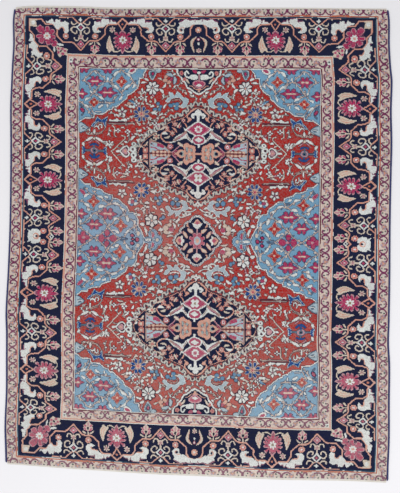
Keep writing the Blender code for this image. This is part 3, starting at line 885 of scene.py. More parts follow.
# pale blue half medallions in the middle of the long sides
field.shape(SKY, ((474, 238), (463, 230), (455, 215), (440, 203), (420, 203), (415, 192), (395, 185),
    (375, 183), (365, 172), (350, 166), (333, 162), (330, 150), (310, 148), (298, 138), (285, 128),
    (274, 120), (266, 98), (250, 98), (240, 88), (232, 70), (230, 50), (215, 25), (203, 0), (203, -10),
    (474, -10)), False, IVORY, 3.6)
for line in (
    ((461, 40), (439, 53), (423, 69), (415, 80), (401, 92), (379, 99), (363, 110), (350, 124),
     (336, 137), (331, 150)),
    ((401, 92), (374, 72), (358, 56), (350, 40)),
    ((350, 40), (331, 53), (320, 67), (303, 77), (287, 88), (279, 104)),
    ((350, 40), (336, 26), (320, 10), (303, -1), (290, -8)),
    ((350, 40), (363, 20), (379, 7), (404, -8)),
    ((461, 36), (442, 23), (423, 12), (404, -4)),
    ((282, 2), (266, 26), (249, 40), (236, 50)),
    ((347, 124), (325, 129), (303, 121), (290, 107), (287, 88), (271, 77), (252, 67), (244, 56),
     (236, 40), (233, 23)),
    ((461, 137), (442, 132), (425, 110), (404, 102)),
    ((409, 178), (390, 159), (371, 148), (350, 132)),
    ((440, 190), (425, 170), (412, 158)),
):
    vine(line, ASHES, (CREAM, SLATE, PALE_BLUE), 3.6, 15, 7)
four_petals(404, 136, 23)
bloom(349, 90, 1.25, 1.1)
bloom(400, 47, 1.05)
four_petals(297, 46, 25)
lobes(RASPBERRY, ((350, 16, 8, 11), (370, -5, 10, 14), (326, -5, 14, 11), (350, -12, 10, 10)), WINE, 2)
lobes(RASPBERRY, ((443, 8, 8, 10), (457, -5, 10, 10), (428, -5, 9, 9)), WINE, 2)
lobes(PINK, ((345, -5, 6, 5), (440, -5, 6, 5)))
bloom(461, 87, 1.1)
lobes(RASPBERRY, ((448, 170, 14, 5, 45),), PINK, 1.6)
lobes(RASPBERRY, ((250, 10, 6, 5), (248, -8, 6, 5), (232, -4, 6, 6)), NAVY, 2)
leaves(IVORY, ((442, 152, 424, 162, 10), (390, 157, 368, 151, 9), (362, 157, 348, 150, 9),
    (440, 128, 420, 114, 10), (384, 112, 362, 120, 12), (330, 132, 306, 126, 9), (292, 114, 291, 103, 9),
    (325, 66, 311, 77, 10), (278, 78, 268, 62, 12), (244, 66, 243, 55, 8), (274, 16, 262, 32, 9),
    (318, 24, 303, 16, 11), (332, 27, 318, 27, 6), (458, 60, 452, 54, 8), (430, 108, 424, 100, 6),
    (418, 84, 412, 78, 6)))
leaves(SLATE, ((440, 190, 446, 180, 8), (350, 142, 342, 136, 5), (452, 36, 458, 46, 5),
    (255, 34, 248, 28, 5), (300, -2, 270, -3, 5)))
lobes(SKY, ((170, 17, 17, 20, -20), (150, -4, 14, 17)), PALE_BLUE, 2)
field.shape(SKY, ((204, -8), (204, 3), (190, 8), (176, 6), (176, -8)), True, PALE_BLUE, 2)
lobes(RASPBERRY, ((171, 14, 5, 11),), PALE_BLUE, 2)
lobes(CREAM, ((155, -4, 5, 5), (228, 18, 5, 7)), PALE_BLUE, 2)
leaves(IVORY, ((200, -4, 178, -4, 5),))

# the two large medallions; b runs both ways from the line across the middle of each
MEDALLION = 334


def all_round(quarter):
    """The whole outline of a shape whose four quarters mirror this one."""
    half = np.array(quarter + tuple((a, -b) for a, b in quarter[-2::-1]))
    return np.vstack((half, half[-2:0:-1] * (-1, 1)))


rim = all_round(((0, 178), (22, 173), (42, 152), (50, 142), (75, 132), (95, 123), (112, 118), (140, 98),
    (162, 84), (176, 72), (190, 65), (215, 42), (228, 20), (234, 0)))
ground = Motif(place(0, MEDALLION))
ground.shape(AUBERGINE, rim * 1.03, False)
ground.shape(NAVY, rim, False, SALMON, 2)
medallion = Motif(place(0, MEDALLION), place(0, MEDALLION, high=-1))
for a, b, lean in (
    (16, 192, -8), (38, 174, -45), (58, 156, -25), (84, 146, -20), (106, 137, -30), (126, 122, -38),
    (148, 104, -32), (170, 92, -25), (192, 78, -40), (212, 60, -50), (230, 38, -60), (246, 13, -80),
):
    hook = Motif(*(place(a, MEDALLION + way * b, way * lean, high=way) for way in (1, -1)))
    hook.stem(MIST, ((-12, -5), (-12, 4), (-4, 8), (1, 2), (4, -5), (11, -5), (12, 4)), 5.6)
    hook.stem(OAT, ((-12, -4), (-11, 4), (-4, 7), (1, 1), (4, -5), (11, -4), (11, 3)), 3.4)
    hook.disc(AUBERGINE, -5, 0, 3)
    hook.disc(SLATE, 6, 1, 3)
medallion.stem(SALMON, ((10, 176), (26, 165), (40, 150), (41, 138)), 5)
medallion.disc(SALMON, 33, 133, 7)
medallion.stem(SALMON, ((33, 128), (42, 122)), 4)
medallion.shape(IVORY, ((0, 170), (11, 165), (13, 158), (22, 156), (29, 148), (24, 138), (15, 138),
    (16, 146), (8, 148), (5, 138), (5, 118), (0, 116)))
medallion.disc(NAVY, 19, 145, 2.5)
medallion.stem(IVORY, ((0, 140), (0, 112)), 5)
medallion.shape(IVORY, ((0, 128), (14, 120), (36, 104), (52, 94), (36, 82), (14, 68), (0, 60)), False)
medallion.shape(RASPBERRY, ((0, 122), (14, 114), (34, 101), (45, 94), (34, 86), (14, 74), (0, 66)), False)
ground.flower(IVORY, PINK, 0, 94, 15, 8, core=0.5)
ground.disc(RASPBERRY, 0, 94, 4)
ground.flower(IVORY, OLIVE, 0, -94, 18, 4, core=0.25, deep=0.6)
medallion.stem(PINK, ((20, 108), (40, 94), (20, 80)), 2.8, False)
medallion.disc(IVORY, 0, 53, 26, 20)
medallion.disc(RASPBERRY, 0, 53, 22, 16)
medallion.shape(IVORY, ((0, 64), (17, 54), (0, 44)), False)
medallion.disc(IVORY, 0, 28, 4, 6)
medallion.shape(IVORY, ((50, 92), (60, 104), (54, 88), (66, 78), (84, 68), (100, 50), (98, 42), (84, 48),
    (66, 54), (48, 60), (34, 48), (22, 40), (26, 52), (40, 68), (44, 82)))
medallion.stem(ROSE, ((50, 84), (62, 72), (80, 60), (96, 48)), 10)
medallion.stem(PINK, ((52, 80), (62, 70), (78, 60)), 6)
medallion.stem(WINE, ((56, 72), (70, 62), (88, 52)), 2.4)
medallion.stem(ROSE, ((30, 48), (38, 60), (46, 72)), 3)
medallion.stem(IVORY, ((96, 46), (112, 42), (130, 45), (142, 56)), 5)
medallion.stem(SALMON, ((112, 42), (130, 46), (144, 60), (146, 72), (136, 82), (120, 88), (108, 84),
    (104, 76)), 4.6)
medallion.leaf(IVORY, ((142, 74), (132, 79), (118, 74)), 10)
medallion.leaf(CREAM, ((132, 62), (120, 62), (110, 68)), 8)
for a, b, r in ((120, 97, 10), (101, 78, 11), (90, 113, 11), (58, 128, 9), (72, 106, 7)):
    medallion.flower(CORAL, CREAM, a, b, r, 6, core=0.45, deep=0.5)
    medallion.disc(RASPBERRY, a, b, 2.4)
medallion.leaf(CREAM, ((120, 106), (134, 98), (146, 92)), 6)
medallion.leaf(SALMON, ((100, 100), (90, 92), (82, 82)), 6)
medallion.leaf(CREAM, ((70, 118), (78, 108), (80, 98)), 6)
medallion.leaf(SALMON, ((56, 118), (48, 110), (44, 100)), 5)
medallion.flower(CREAM, CORAL, 164, 65, 14, 6, core=0.4, deep=0.5)
medallion.leaf(CREAM, ((186, 58), (178, 50), (168, 50)), 5)
medallion.stem(PINK, ((104, 2), (84, 20), (64, 40)), 3.6)
medallion.stem(RASPBERRY, ((98, 0), (90, 8), (84, 12)), 4)
medallion.leaf(CREAM, ((80, 42), (70, 36), (62, 28)), 11)
medallion.disc(CREAM, 76, 40, 5)
medallion.disc(CREAM, 66, 33, 5)
medallion.flower(CORAL, PINK, 110, 26, 12, 8, core=0.5)
medallion.disc(IVORY, 110, 26, 7, None, RASPBERRY, 2)
medallion.disc(RASPBERRY, 110, 26, 3)
medallion.stem(SALMON, ((0, 0), (16, 0)), 5)
medallion.shape(SALMON, ((12, 0), (12, 22), (20, 30), (34, 34), (44, 42), (56, 36), (60, 24), (56, 14),
    (70, 16), (82, 8), (90, 0), (90, -4), (12, -4)))
medallion.shape(APRICOT, ((16, 0), (16, 20), (24, 27), (36, 30), (44, 36), (54, 32), (55, 22), (50, 10),
    (66, 12), (78, 6), (85, 0), (85, -4), (16, -4)))
medallion.stem(BRICK, ((24, 4), (28, 16), (42, 24), (50, 18), (48, 6)), 5)
for a, b, r, tall in ((29, 13, 6, 8), (46, 17, 5, 10), (42, 5, 5, 4)):
    medallion.disc(SLATE, a, b, r, tall)
    medallion.disc(MIST, a, b + 1, r - 1.5, tall - 2)
medallion.disc(SALMON, 36, 4, 7, 8)
medallion.disc(CREAM, 34, 0, 4, 4)
medallion.disc(MIST, 64, 4, 6, 6)
medallion.disc(NAVY, 69, 0, 7, 6)
medallion.shape(ROSE, ((190, 0), (190, 54), (182, 54), (172, 46), (150, 42), (134, 32), (118, 16), (98, 0),
    (98, -4), (190, -4)), False)
medallion.shape(PALE_BLUE, ((186, 0), (186, 48), (176, 42), (150, 37), (134, 27), (118, 11), (104, -2),
    (186, -2)), False)
medallion.shape(RASPBERRY, ((160, 38), (150, 38), (134, 30), (134, 20), (146, 24), (160, 28)))
medallion.stem(RASPBERRY, ((184, 24), (168, 22), (150, 12), (130, 14)), 4)
medallion.stem(PINK, ((186, 44), (172, 30)), 3)
medallion.disc(NAVY, 181, 36, 3)
medallion.shape(MAROON, ((186, 0), (180, 6), (160, 13), (130, 13), (112, 4), (104, 0), (104, -3),
    (186, -3)))
for a, r in ((115, 5), (128, 6.5), (143, 7.5), (159, 7.5), (174, 6)):
    medallion.disc(APRICOT, a, 6.5, r, 5)
    medallion.disc(CREAM, a, 7, r - 3.5, 2.6)
medallion.shape(CORAL, ((196, 4), (212, 2), (216, 12), (212, 24), (204, 20), (196, 24)))
medallion.disc(CREAM, 206, 12, 5)
medallion.leaf(CREAM, ((214, 22), (222, 26), (226, 18)), 5)
medallion.leaf(CREAM, ((206, 28), (200, 36), (196, 44)), 7)
medallion.leaf(SALMON, ((196, 30), (206, 32), (218, 28)), 4)

# the small medallion in the middle
steps = all_round(((0, 95), (12, 92), (22, 84), (28, 74), (38, 71), (48, 64), (51, 53), (60, 47), (66, 38),
    (68, 28), (80, 20), (86, 10), (92, 0)))
heart = Motif(place(0, 0), place(0, 0, high=-1))
heart.shape(IVORY, steps * 1.02, False, IVORY, 2.8)
heart.shape(SLATE, steps, False, SLATE, 2)
heart.shape(IVORY, steps * 0.985, False)
heart.shape(NAVY, steps * 0.95, False)
heart.flower(PINK, PALE_BLUE, 0, 0, 32, 8, core=0.45, deep=0.66)
heart.flower(RASPBERRY, PALE_BLUE, 0, 0, 29, 8, core=0.45, deep=0.66)
heart.disc(PALE_BLUE, 0, 0, 14, 17)
heart.disc(APRICOT, 0, 0, 7, 9)
heart.stem(PINK, ((0, 26), (0, 46)), 5)
heart.shape(APRICOT, ((0, 82), (10, 74), (14, 66), (8, 58), (-8, 58), (-14, 66), (-10, 74)))
heart.shape(RASPBERRY, ((0, 76), (8, 66), (0, 58), (-8, 66)))
heart.shape(IVORY, ((0, 62), (12, 66), (19, 68), (14, 56), (4, 48), (0, 49)))
heart.shape(IVORY, ((46, 0), (54, 9), (56, 20), (64, 12), (60, 0)))
heart.shape(APRICOT, ((60, 0), (63, 14), (72, 14), (80, 4), (80, -4), (60, -4)))
heart.shape(RASPBERRY, ((58, 0), (64, 8), (72, 4), (72, -2), (58, -2)))
heart.shape(CREAM, ((16, 30), (20, 42), (36, 46), (34, 38), (24, 30)), True, SALMON, 2)
heart.shape(CREAM, ((38, 10), (36, 16), (44, 30), (54, 36), (50, 22), (44, 14)), True, SALMON, 2)
heart.leaf(APRICOT, ((36, 68), (38, 58), (32, 52)), 7)
heart.disc(PINK, 60, 31, 4)

# half a medallion at each end
CUP = ((84, 664), (84, 645), (80, 633), (68, 624), (65, 615), (52, 602), (48, 592), (44, 584), (30, 579),
    (12, 565), (0, 560))
cup = np.array(CUP + tuple((-a, b) for a, b in CUP[-2::-1])) - (0, 662)
for yarn, size in ((IVORY, 1.04), (NAVY, 0.97)):
    Motif(place(0, 667)).shape(yarn, cup * size, False)
field.flower(CORAL, RASPBERRY, 68, 641, 9, 5)
field.flower(CORAL, RASPBERRY, 57, 618, 8, 5)
field.leaf(CREAM, ((52, 616), (46, 612), (38, 600)), 8)
field.stem(IVORY, ((40, 640), (46, 648), (54, 642), (52, 630), (40, 624), (24, 624), (12, 624)), 6)
field.shape(IVORY, ((34, 634), (8, 634), (6, 620), (18, 616), (34, 620)))
field.disc(IVORY, 0, 643, 8, 6)
field.shape(RASPBERRY, ((26, 654), (22, 644), (12, 640), (8, 650)))
field.stem(PINK, ((0, 636), (0, 612)), 5)
field.shape(PINK, ((0, 612), (14, 612), (26, 602), (18, 590), (0, 582)))
field.shape(RASPBERRY, ((0, 608), (12, 608), (21, 601), (14, 592), (0, 586)))
field.shape(IVORY, ((0, 602), (13, 594), (0, 588)), False)
field.stem(SALMON, ((38, 592), (26, 590), (14, 580), (0, 578)), 3)
field.disc(APRICOT, 0, 573, 5, 5)

# vines and loose leaves on the red
for line in (
    ((150, 482), (140, 478), (125, 485), (112, 492), (104, 500)),
    ((156, 455), (152, 470), (147, 490), (150, 500)),
    ((230, 500), (222, 515), (214, 530), (206, 545), (205, 560), (200, 575)),
    ((205, 560), (215, 566), (226, 566), (232, 560)),
    ((85, 632), (95, 640), (105, 646), (122, 646)),
    ((72, 612), (70, 602), (76, 596), (80, 588), (74, 578), (62, 574), (50, 572)),
    ((100, 578), (96, 584), (88, 582), (86, 576)),
    ((150, 576), (138, 563), (128, 552), (118, 546)),
    ((200, 440), (186, 446), (172, 450), (156, 455)),
    ((196, 460), (180, 456), (165, 462)),
    ((148, 196), (144, 184), (128, 176), (112, 166), (100, 156), (90, 150)),
    ((150, 206), (148, 190), (144, 172), (142, 160)),
    ((170, 198), (160, 204), (150, 208)),
    ((204, 100), (206, 112), (208, 126), (214, 136)),
    ((210, 88), (204, 98), (196, 90), (190, 84)),
    ((230, 90), (238, 100), (244, 112)),
    ((80, 72), (84, 66), (80, 60), (72, 56), (62, 56)),
    ((100, 76), (92, 72), (88, 66), (80, 72), (70, 80), (60, 82)),
    ((276, 420), (270, 402), (270, 382), (272, 372)),
    ((276, 250), (270, 262), (272, 282), (270, 296)),
    ((362, 366), (345, 352), (330, 360)),
    ((345, 480), (330, 481), (316, 476)),
    ((378, 372), (366, 364), (360, 360)),
    ((366, 250), (352, 262), (350, 280), (344, 296)),
    ((345, 425), (346, 405), (342, 392)),
    ((240, 424), (238, 408), (242, 396)),
    ((250, 475), (262, 468), (270, 458)),
    ((200, 412), (212, 400), (224, 396)),
    ((30, 548), (18, 550), (6, 544)),
    ((236, 540), (246, 528), (250, 520), (262, 524)),
    ((140, 539), (132, 545), (124, 548)),
    ((186, 400), (176, 412), (164, 420)),
    ((186, 268), (176, 256), (160, 246)),
    ((300, 470), (288, 464), (280, 452), (286, 440)),
    ((296, 262), (300, 274), (292, 284)),
    ((236, 404), (226, 384), (232, 366)),
    ((230, 300), (224, 284), (228, 268)),
    ((120, 56), (132, 44), (140, 30), (136, 16)),
    ((176, 60), (172, 46), (180, 34), (176, 20)),
    ((216, 150), (226, 140), (236, 132)),
    ((330, 210), (316, 216), (302, 212)),
    ((420, 424), (428, 414), (440, 408)),
    ((420, 250), (430, 262), (442, 266)),
    ((436, 400), (424, 396), (412, 404), (400, 408)),
    ((436, 270), (424, 276), (412, 268), (400, 264)),
):
    vine(line)
sprigs = (
    (158, 623, 144, 615, 7), (127, 601, 139, 583, 8), (114, 594, 110, 585, 6), (150, 579, 135, 564, 9),
    (226, 600, 203, 603, 8), (212, 620, 196, 612, 9), (221, 580, 219, 568, 8), (228, 562, 220, 556, 7),
    (168, 541, 166, 524, 7), (186, 508, 170, 514, 8), (133, 502, 121, 521, 8), (205, 541, 202, 528, 8),
    (190, 531, 179, 529, 7), (203, 523, 190, 519, 7), (190, 520, 182, 515, 7), (220, 523, 210, 517, 7),
    (232, 523, 225, 521, 6), (197, 465, 180, 463, 7), (146, 462, 129, 470, 7), (228, 437, 222, 444, 7),
    (214, 446, 208, 440, 7), (190, 434, 180, 440, 7), (118, 497, 112, 491, 5), (101, 498, 96, 492, 5),
    (183, 549, 181, 541, 7), (247, 549, 242, 541, 6), (256, 540, 250, 534, 6), (285, 515, 272, 511, 6),
    (262, 498, 259, 486, 7), (266, 468, 250, 469, 6), (318, 476, 305, 469, 8), (324, 498, 316, 490, 8),
    (236, 450, 230, 440, 6), (244, 458, 236, 452, 6),
    (152, 70, 138, 52, 8), (106, 74, 103, 60, 7), (93, 62, 86, 40, 8), (120, 17, 94, 26, 9),
    (150, 32, 130, 34, 8), (118, 8, 90, 12, 7), (145, 116, 128, 105, 8), (142, 98, 122, 94, 5),
    (136, 154, 116, 144, 10), (148, 192, 126, 190, 9), (184, 158, 180, 146, 7), (180, 146, 168, 142, 6),
    (206, 136, 188, 137, 10), (200, 120, 188, 122, 9), (176, 126, 160, 116, 8), (178, 100, 166, 100, 6),
    (236, 88, 222, 88, 9), (222, 52, 206, 52, 12), (206, 44, 196, 14, 9), (236, 116, 226, 112, 7),
    (172, 192, 186, 196, 6), (196, 206, 186, 202, 8), (240, 160, 232, 146, 7),
    (262, 378, 246, 394, 10), (258, 448, 246, 438, 6), (268, 288, 255, 272, 8), (292, 246, 268, 240, 7),
    (302, 230, 278, 236, 6), (244, 262, 238, 250, 8), (300, 428, 286, 424, 6), (288, 372, 276, 368, 8),
    (300, 362, 290, 358, 6), (250, 232, 240, 240, 7), (330, 246, 326, 236, 6), (240, 380, 232, 372, 8),
    (346, 264, 342, 252, 8), (352, 280, 348, 270, 6), (256, 300, 246, 294, 8), (228, 320, 222, 310, 8),
    (262, 170, 256, 158, 8), (272, 196, 262, 190, 6), (228, 200, 238, 208, 6), (290, 205, 280, 198, 6),
    (40, 570, 26, 560, 9), (52, 566, 47, 556, 7), (50, 102, 44, 92, 8), (40, 90, 24, 96, 8),
    (58, 86, 48, 90, 6), (136, 420, 128, 430, 6), (34, 556, 22, 548, 6), (222, 420, 230, 412, 8),
    (236, 284, 244, 276, 8), (206, 236, 214, 228, 8), (200, 262, 190, 256, 6), (222, 236, 232, 240, 6),
    (180, 244, 170, 238, 7), (214, 258, 224, 262, 6), (160, 228, 150, 222, 7), (176, 222, 188, 226, 6),
    (202, 396, 212, 388, 7), (230, 394, 236, 404, 6), (186, 422, 196, 428, 7), (214, 428, 206, 420, 6),
)
leaves(IVORY, [sprig for sprig in sprigs if sprig[4] > 7])
leaves(OAT, [sprig for sprig in sprigs if sprig[4] <= 7])
for b, way in ((362, 1), (306, -1)):
    leaves(IVORY, [(a0, b + way * b0, a1, b + way * b1, width) for a0, b0, a1, b1, width in (
        (360, 10, 352, 2, 6), (346, 12, 344, 3, 5), (357, -8, 349, -2, 7), (344, -8, 343, 0, 6),
        (334, -4, 342, 1, 6), (332, 8, 340, 4, 6),
    )])

# a hanging bud below each medallion's tip, and the two arcs that frame the small medallion
field.leaf(IVORY, ((0, 148), (0, 136), (0, 122)), 9)
field.leaf(IVORY, ((3, 140), (10, 134), (18, 132)), 6)
field.disc(WINE, 0, 135, 2.6)
for line in (
    ((8, 116), (22, 107), (38, 104), (56, 108), (64, 116)), ((42, 92), (54, 84), (66, 84), (76, 92)),
):
    field.stem(GREY, line, 4.6)
    field.stem(IVORY, line, 3)
leaves(IVORY, ((24, 116, 34, 124, 7), (70, 78, 78, 70, 7), (50, 92, 60, 98, 6), (90, 100, 100, 108, 7)))

# large serrated leaves, and the blue, ivory and apricot flowers beside them
spray = Motif(place(0, 535), place(0, 130, high=-1))
spray.shape(PALE_BLUE, ((126, 2), (118, 14), (109, 19), (114, 36), (102, 33), (93, 25), (89, 22), (83, 38),
    (73, 33), (64, 22), (57, 15), (49, 16), (36, 8), (40, -5), (46, -18), (56, -24), (69, -22), (74, -18),
    (63, -13), (58, -6), (60, 5), (68, 13), (80, 17), (93, 15), (104, 11), (110, 0), (118, -3)), False,
    IVORY, 1.6)
spray.stem(ROSE, ((100, 4), (88, 8), (74, 8), (67, 0), (72, -6)), 3)
spray.leaf(CREAM, ((76, -19), (68, -20), (60, -22)), 5)
for petals, middle in (
    (((105, 516, 7, 6), (81, 520, 7, 6), (83, 505, 7, 6), (93, 522, 4, 3)), (90, 513, 3.5, 3.5)),
    (((155, 521, 5, 5), (144, 510, 5, 4), (149, 499, 5, 5), (166, 499, 7, 5)), (157, 510, 4, 4)),
    (((82, 153, 7, 5), (98, 138, 7, 8), (77, 134, 7, 7)), (86, 146, 3, 3)),
    (((163, 155, 5, 5), (146, 158, 5, 5), (142, 146, 5, 4), (150, 136, 7, 6)), (155, 146, 4, 4)),
):
    lobes(BLUE, petals, SLATE, 2.2)
    lobes(CREAM, (middle,))
lobes(BLUE, ((132, 84, 5, 6), (142, 78, 4, 4)), SLATE, 2.2)
field.stem(CRIMSON, ((106, 128), (96, 118), (84, 114), (70, 116), (62, 126)), 5)
field.stem(IVORY, ((100, 122), (92, 118), (78, 118), (66, 122)), 3.4)
for p, q in ((219, 486), (218, 190)):
    for yarn, width, start, reach in ((ASHES, 15, 4, 33), (INDIGO, 11, 12, 30)):
        for k in range(8):
            petal = Motif(place(p, q, 22 + 45 * k))
            petal.shape(yarn, ((start, 0), (reach * 0.6, width / 2 - 1), (reach * 0.84, width / 2 - 0.5),
                (reach, 0), (reach * 0.84, 0.5 - width / 2), (reach * 0.6, 1 - width / 2)))
    Motif(place(p, q)).flower(SALMON, RASPBERRY, 0, 0, 9, 8, core=0.4, deep=0.7)
for p, q, r, petals in ((179, 587, 26, 8), (178, 75, 25, 6)):
    for yarn, width, reach in ((AUBERGINE, 104 / petals + 2, r + 3), (IVORY, 88 / petals, r)):
        for k in range(petals):
            petal = Motif(place(p, q, 20 + 360 / petals * k))
            petal.shape(yarn, ((5, 0), (reach * 0.55, width / 2 - 1.5), (reach * 0.78, width / 2),
                (reach, 0), (reach * 0.78, -width / 2), (reach * 0.55, 1.5 - width / 2)))
    Motif(place(p, q)).disc(SLATE, 0, 0, 6)
    Motif(place(p, q)).disc(APRICOT, 0, 0, 4)
lobes(APRICOT, ((127, 628, 9, 5, -45), (131, 613, 9, 6, 15), (115, 605, 9, 6, -50)), ROSE, 1.2)
lobes(RASPBERRY, ((107, 616, 5, 8, 30),))
field.leaf(PALE_BLUE, ((126, 638), (112, 634), (100, 628)), 11, edge=SLATE)
field.leaf(PALE_BLUE, ((94, 626), (92, 612), (97, 598)), 10, edge=SLATE)
lobes(CREAM, ((121, 42, 10, 9), (107, 53, 8, 6), (119, 25, 10, 6, 20)), ROSE, 1.2)
lobes(RASPBERRY, ((99, 36, 9, 8),), PINK, 1.4)
field.shape(PALE_BLUE, ((190, 650), (194, 636), (188, 622), (180, 614), (172, 622), (167, 636), (166, 650)))
field.shape(SLATE, ((187, 648), (190, 636), (186, 625), (180, 619), (175, 625), (171, 636), (170, 648)))
lobes(RASPBERRY, ((179, 638, 4, 6),), NAVY, 2)
lobes(PALE_BLUE, ((158, 650, 10, 6),), SLATE, 1.4)
leaves(PINK, (
    (206, 640, 205, 622, 5), (228, 568, 238, 565, 6), (178, 556, 172, 550, 7), (230, 514, 228, 508, 7),
    (190, 106, 186, 96, 7), (192, 116, 188, 108, 6), (234, 108, 228, 104, 7), (216, 80, 220, 70, 6),
    (196, 434, 202, 428, 6), (262, 512, 256, 506, 6), (262, 402, 254, 398, 6), (300, 250, 294, 244, 6),
    (212, 408, 206, 402, 6), (206, 250, 212, 244, 6), (236, 300, 230, 294, 6), (156, 430, 150, 436, 6),
))
lily = Motif(place(168, 491), place(168, 186, high=-1))
lily.shape(IVORY, ((16, 0), (6, 5), (-4, 10), (-2, 3), (-14, 4), (-6, -2), (-10, -10), (2, -5), (8, -6)),
    False, GREY, 1.6)
posy(294, 487, IVORY, WINE, 20, 20)
posy(294, 172, IVORY, WINE, 20, 50)
lobes(APRICOT, ((267, 521, 7, 5),), ROSE, 1.2)
lobes(IVORY, ((262, 509, 6, 5), (250, 509, 6, 5)), GREY, 1.2)
field.leaf(BLUE, ((268, 534), (252, 526), (242, 511)), 8)
lobes(IVORY, ((266, 138, 5, 7), (243, 132, 5, 5), (251, 152, 5, 3), (262, 150, 4, 4)), GREY, 1.2)
lobes(BLUE, ((257, 129, 7, 5), (240, 144, 5, 7)))
lobes(RASPBERRY, ((254, 141, 7, 6),), WINE, 1.2)
for p, b in ((312, 415), (275, 411), (272, 254), (313, 250), (222, 544), (238, 520), (212, 112), (162, 440)):
    lobes(IVORY, ((p - 7, b, 3.6, 3), (p + 7, b, 3.6, 3), (p, b - 6, 3, 3.4), (p, b + 6, 3, 3.4)))
    lobes(WINE, ((p, b, 3, 3),))

# red panels at the long sides, each with a small blue cross between arched leaves and lines
edge_flower = Motif(place(463, 427), place(463, 245, high=-1))
edge_flower.shape(PALE_BLUE, ((0, 15), (-12, 17), (-24, 10), (-35, 0), (-26, -9), (-12, -17), (0, -18)),
    True, SLATE, 3)
edge_flower.disc(SLATE, -17, 0, 10, 7)
edge_flower.stem(IVORY, ((-9, -3), (-16, 2), (-24, 1)), 3.4)
bar = Motif(place(0, 454), place(0, 216, high=-1))
bar.stem(MAROON, ((352, -3), (248, -3)), 4.4, False)
bar.stem(GREY, ((348, -7), (300, -8), (252, -6)), 3)
bar.shape(IVORY, ((346, 2), (343, 9), (335, 7), (330, 5), (324, 9), (314, 14), (308, 7), (300, 6),
    (296, 11), (290, 9), (284, 13), (277, 10), (276, 3)), False)
bar.shape(INDIGO, ((416, -20), (411, -10), (401, -3), (396, 8), (391, 17), (384, 11), (374, 6), (364, 11),
    (352, 19), (354, 6), (360, -2), (358, -18), (365, -18), (366, -6), (376, 0), (388, 0), (400, -8),
    (408, -20)), False, PALE_BLUE, 2)
bar.stem(ROSE, ((372, -12), (380, -4), (392, -8), (398, -20)), 3)
bar.stem(IVORY, ((386, -30), (388, -20), (382, -12), (374, -16), (376, -24)), 3.6)
bar.leaf(IVORY, ((404, -24), (396, -18), (390, -24)), 5)
bar.stem(GREY, ((360, -20), (366, -32), (376, -42), (390, -48)), 3.2)
arm, cross = Motif(*paired(place(404, 338))), Motif(place(404, 338))
arm.stem(SLATE, ((12, 0), (36, 0)), 6)
arm.stem(PALE_BLUE, ((45, 10), (41, 5), (44, 0), (41, -5), (46, -10)), 10)
arm.stem(INDIGO, ((44, 10), (40, 5), (43, 0), (40, -5), (45, -10)), 6.5)
cross.disc(PINK, 0, 0, 15, 12, SLATE, 3)
cross.disc(SLATE, 0, 0, 9, 8)
cross.disc(NAVY, 0, 0, 4.5)
cross.stem(SLATE, ((0, 10), (0, 22)), 4)
cross.stem(INDIGO, ((-14, 21), (-6, 25), (6, 25), (14, 21)), 6)
cross.stem(INDIGO, ((-18, -18), (-8, -26), (6, -26), (16, -18)), 7)
cross.stem(INDIGO, ((0, -14), (0, -24)), 6)
wing = Motif(*paired(place(404, 385), place(404, 288, high=-1)))
wing.leaf(IVORY, ((6, 6), (18, -1), (36, -12)), 10)
wing.stem(GREY, ((34, -11), (46, -19)), 3)
wing.stem(ROSE, ((4, 14), (18, 20), (32, 24)), 3)
wing.leaf(PINK, ((6, -6), (14, -12), (22, -18)), 4.5)
wing.stem(ROSE, ((4, 18), (12, 24)), 4)
wing.disc(CREAM, 0, 0, 5)
wing.leaf(IVORY, ((0, 38), (0, 28), (0, 18)), 7)
leaves(IVORY, ((452, 362, 446, 351, 10), (452, 313, 446, 302, 10)))
for line in (
    ((298, 395), (288, 393), (285, 385), (296, 372), (312, 358), (326, 344), (338, 333)),
    ((338, 333), (322, 316), (304, 296), (284, 275)),
    ((333, 435), (325, 428), (326, 412), (326, 396), (318, 390)),
    ((322, 272), (328, 262), (326, 246), (320, 232)),
):
    field.stem(OAT, line, 3.4)
field.stem(GREY, ((318, 352), (304, 345), (294, 352)), 3)
field.stem(GREY, ((314, 318), (300, 322), (290, 314)), 3)
leaves(IVORY, ((320, 333, 306, 333, 9),))
heart_outline = ((303, 334), (294, 345), (283, 353), (274, 351), (268, 342), (272, 334), (268, 326),
    (274, 317), (283, 315), (294, 323))
field.shape(AUBERGINE, heart_outline, True, IVORY, 5)
field.shape(PINK, np.array(heart_outline) * 0.62 + (108, 127))
field.disc(APRICOT, 284, 334, 4)
lobes(IVORY, ((250, 363, 8, 7), (253, 343, 12, 11), (252, 321, 10, 10), (251, 302, 10, 8)), MIST, 1.4)
lobes(AUBERGINE, ((250, 363, 3, 3), (254, 343, 5, 5), (252, 321, 4, 4), (251, 302, 4, 3)))


def outlined(ground, line, reach):
    """The fine dark line that the weaver puts round every motif on one ground."""
    near = chart != ground
    for _ in range(reach):
        grown = near.copy()
        grown[1:] |= near[:-1]
        grown[:-1] |= near[1:]
        grown[:, 1:] |= near[:, :-1]
        grown[:, :-1] |= near[:, 1:]
        near = grown
    chart[near & (chart == ground)] = line


chart[:, 465:] = bands[:, 465:]
chart[661:] = bands[661:]
outlined(MADDER, AUBERGINE, 2)
outlined(SKY, DARK_SLATE, 2)
inside = within(*FIELD_EDGE)
MIDDLE_PART = 220  # mm of the field each way from the rug's middle
knotted("pile_field_head", inside & (middle_v > MIDDLE_PART))
knotted("pile_field_middle", inside & (np.abs(middle_v) < MIDDLE_PART))
knotted("pile_field_foot", inside & (middle_v < -MIDDLE_PART))

# Back of the knots: each knot shows there as two small bars of its own yarn between the wefts, so
# the whole design reads on the underside too, a little duller and softer than on the face.


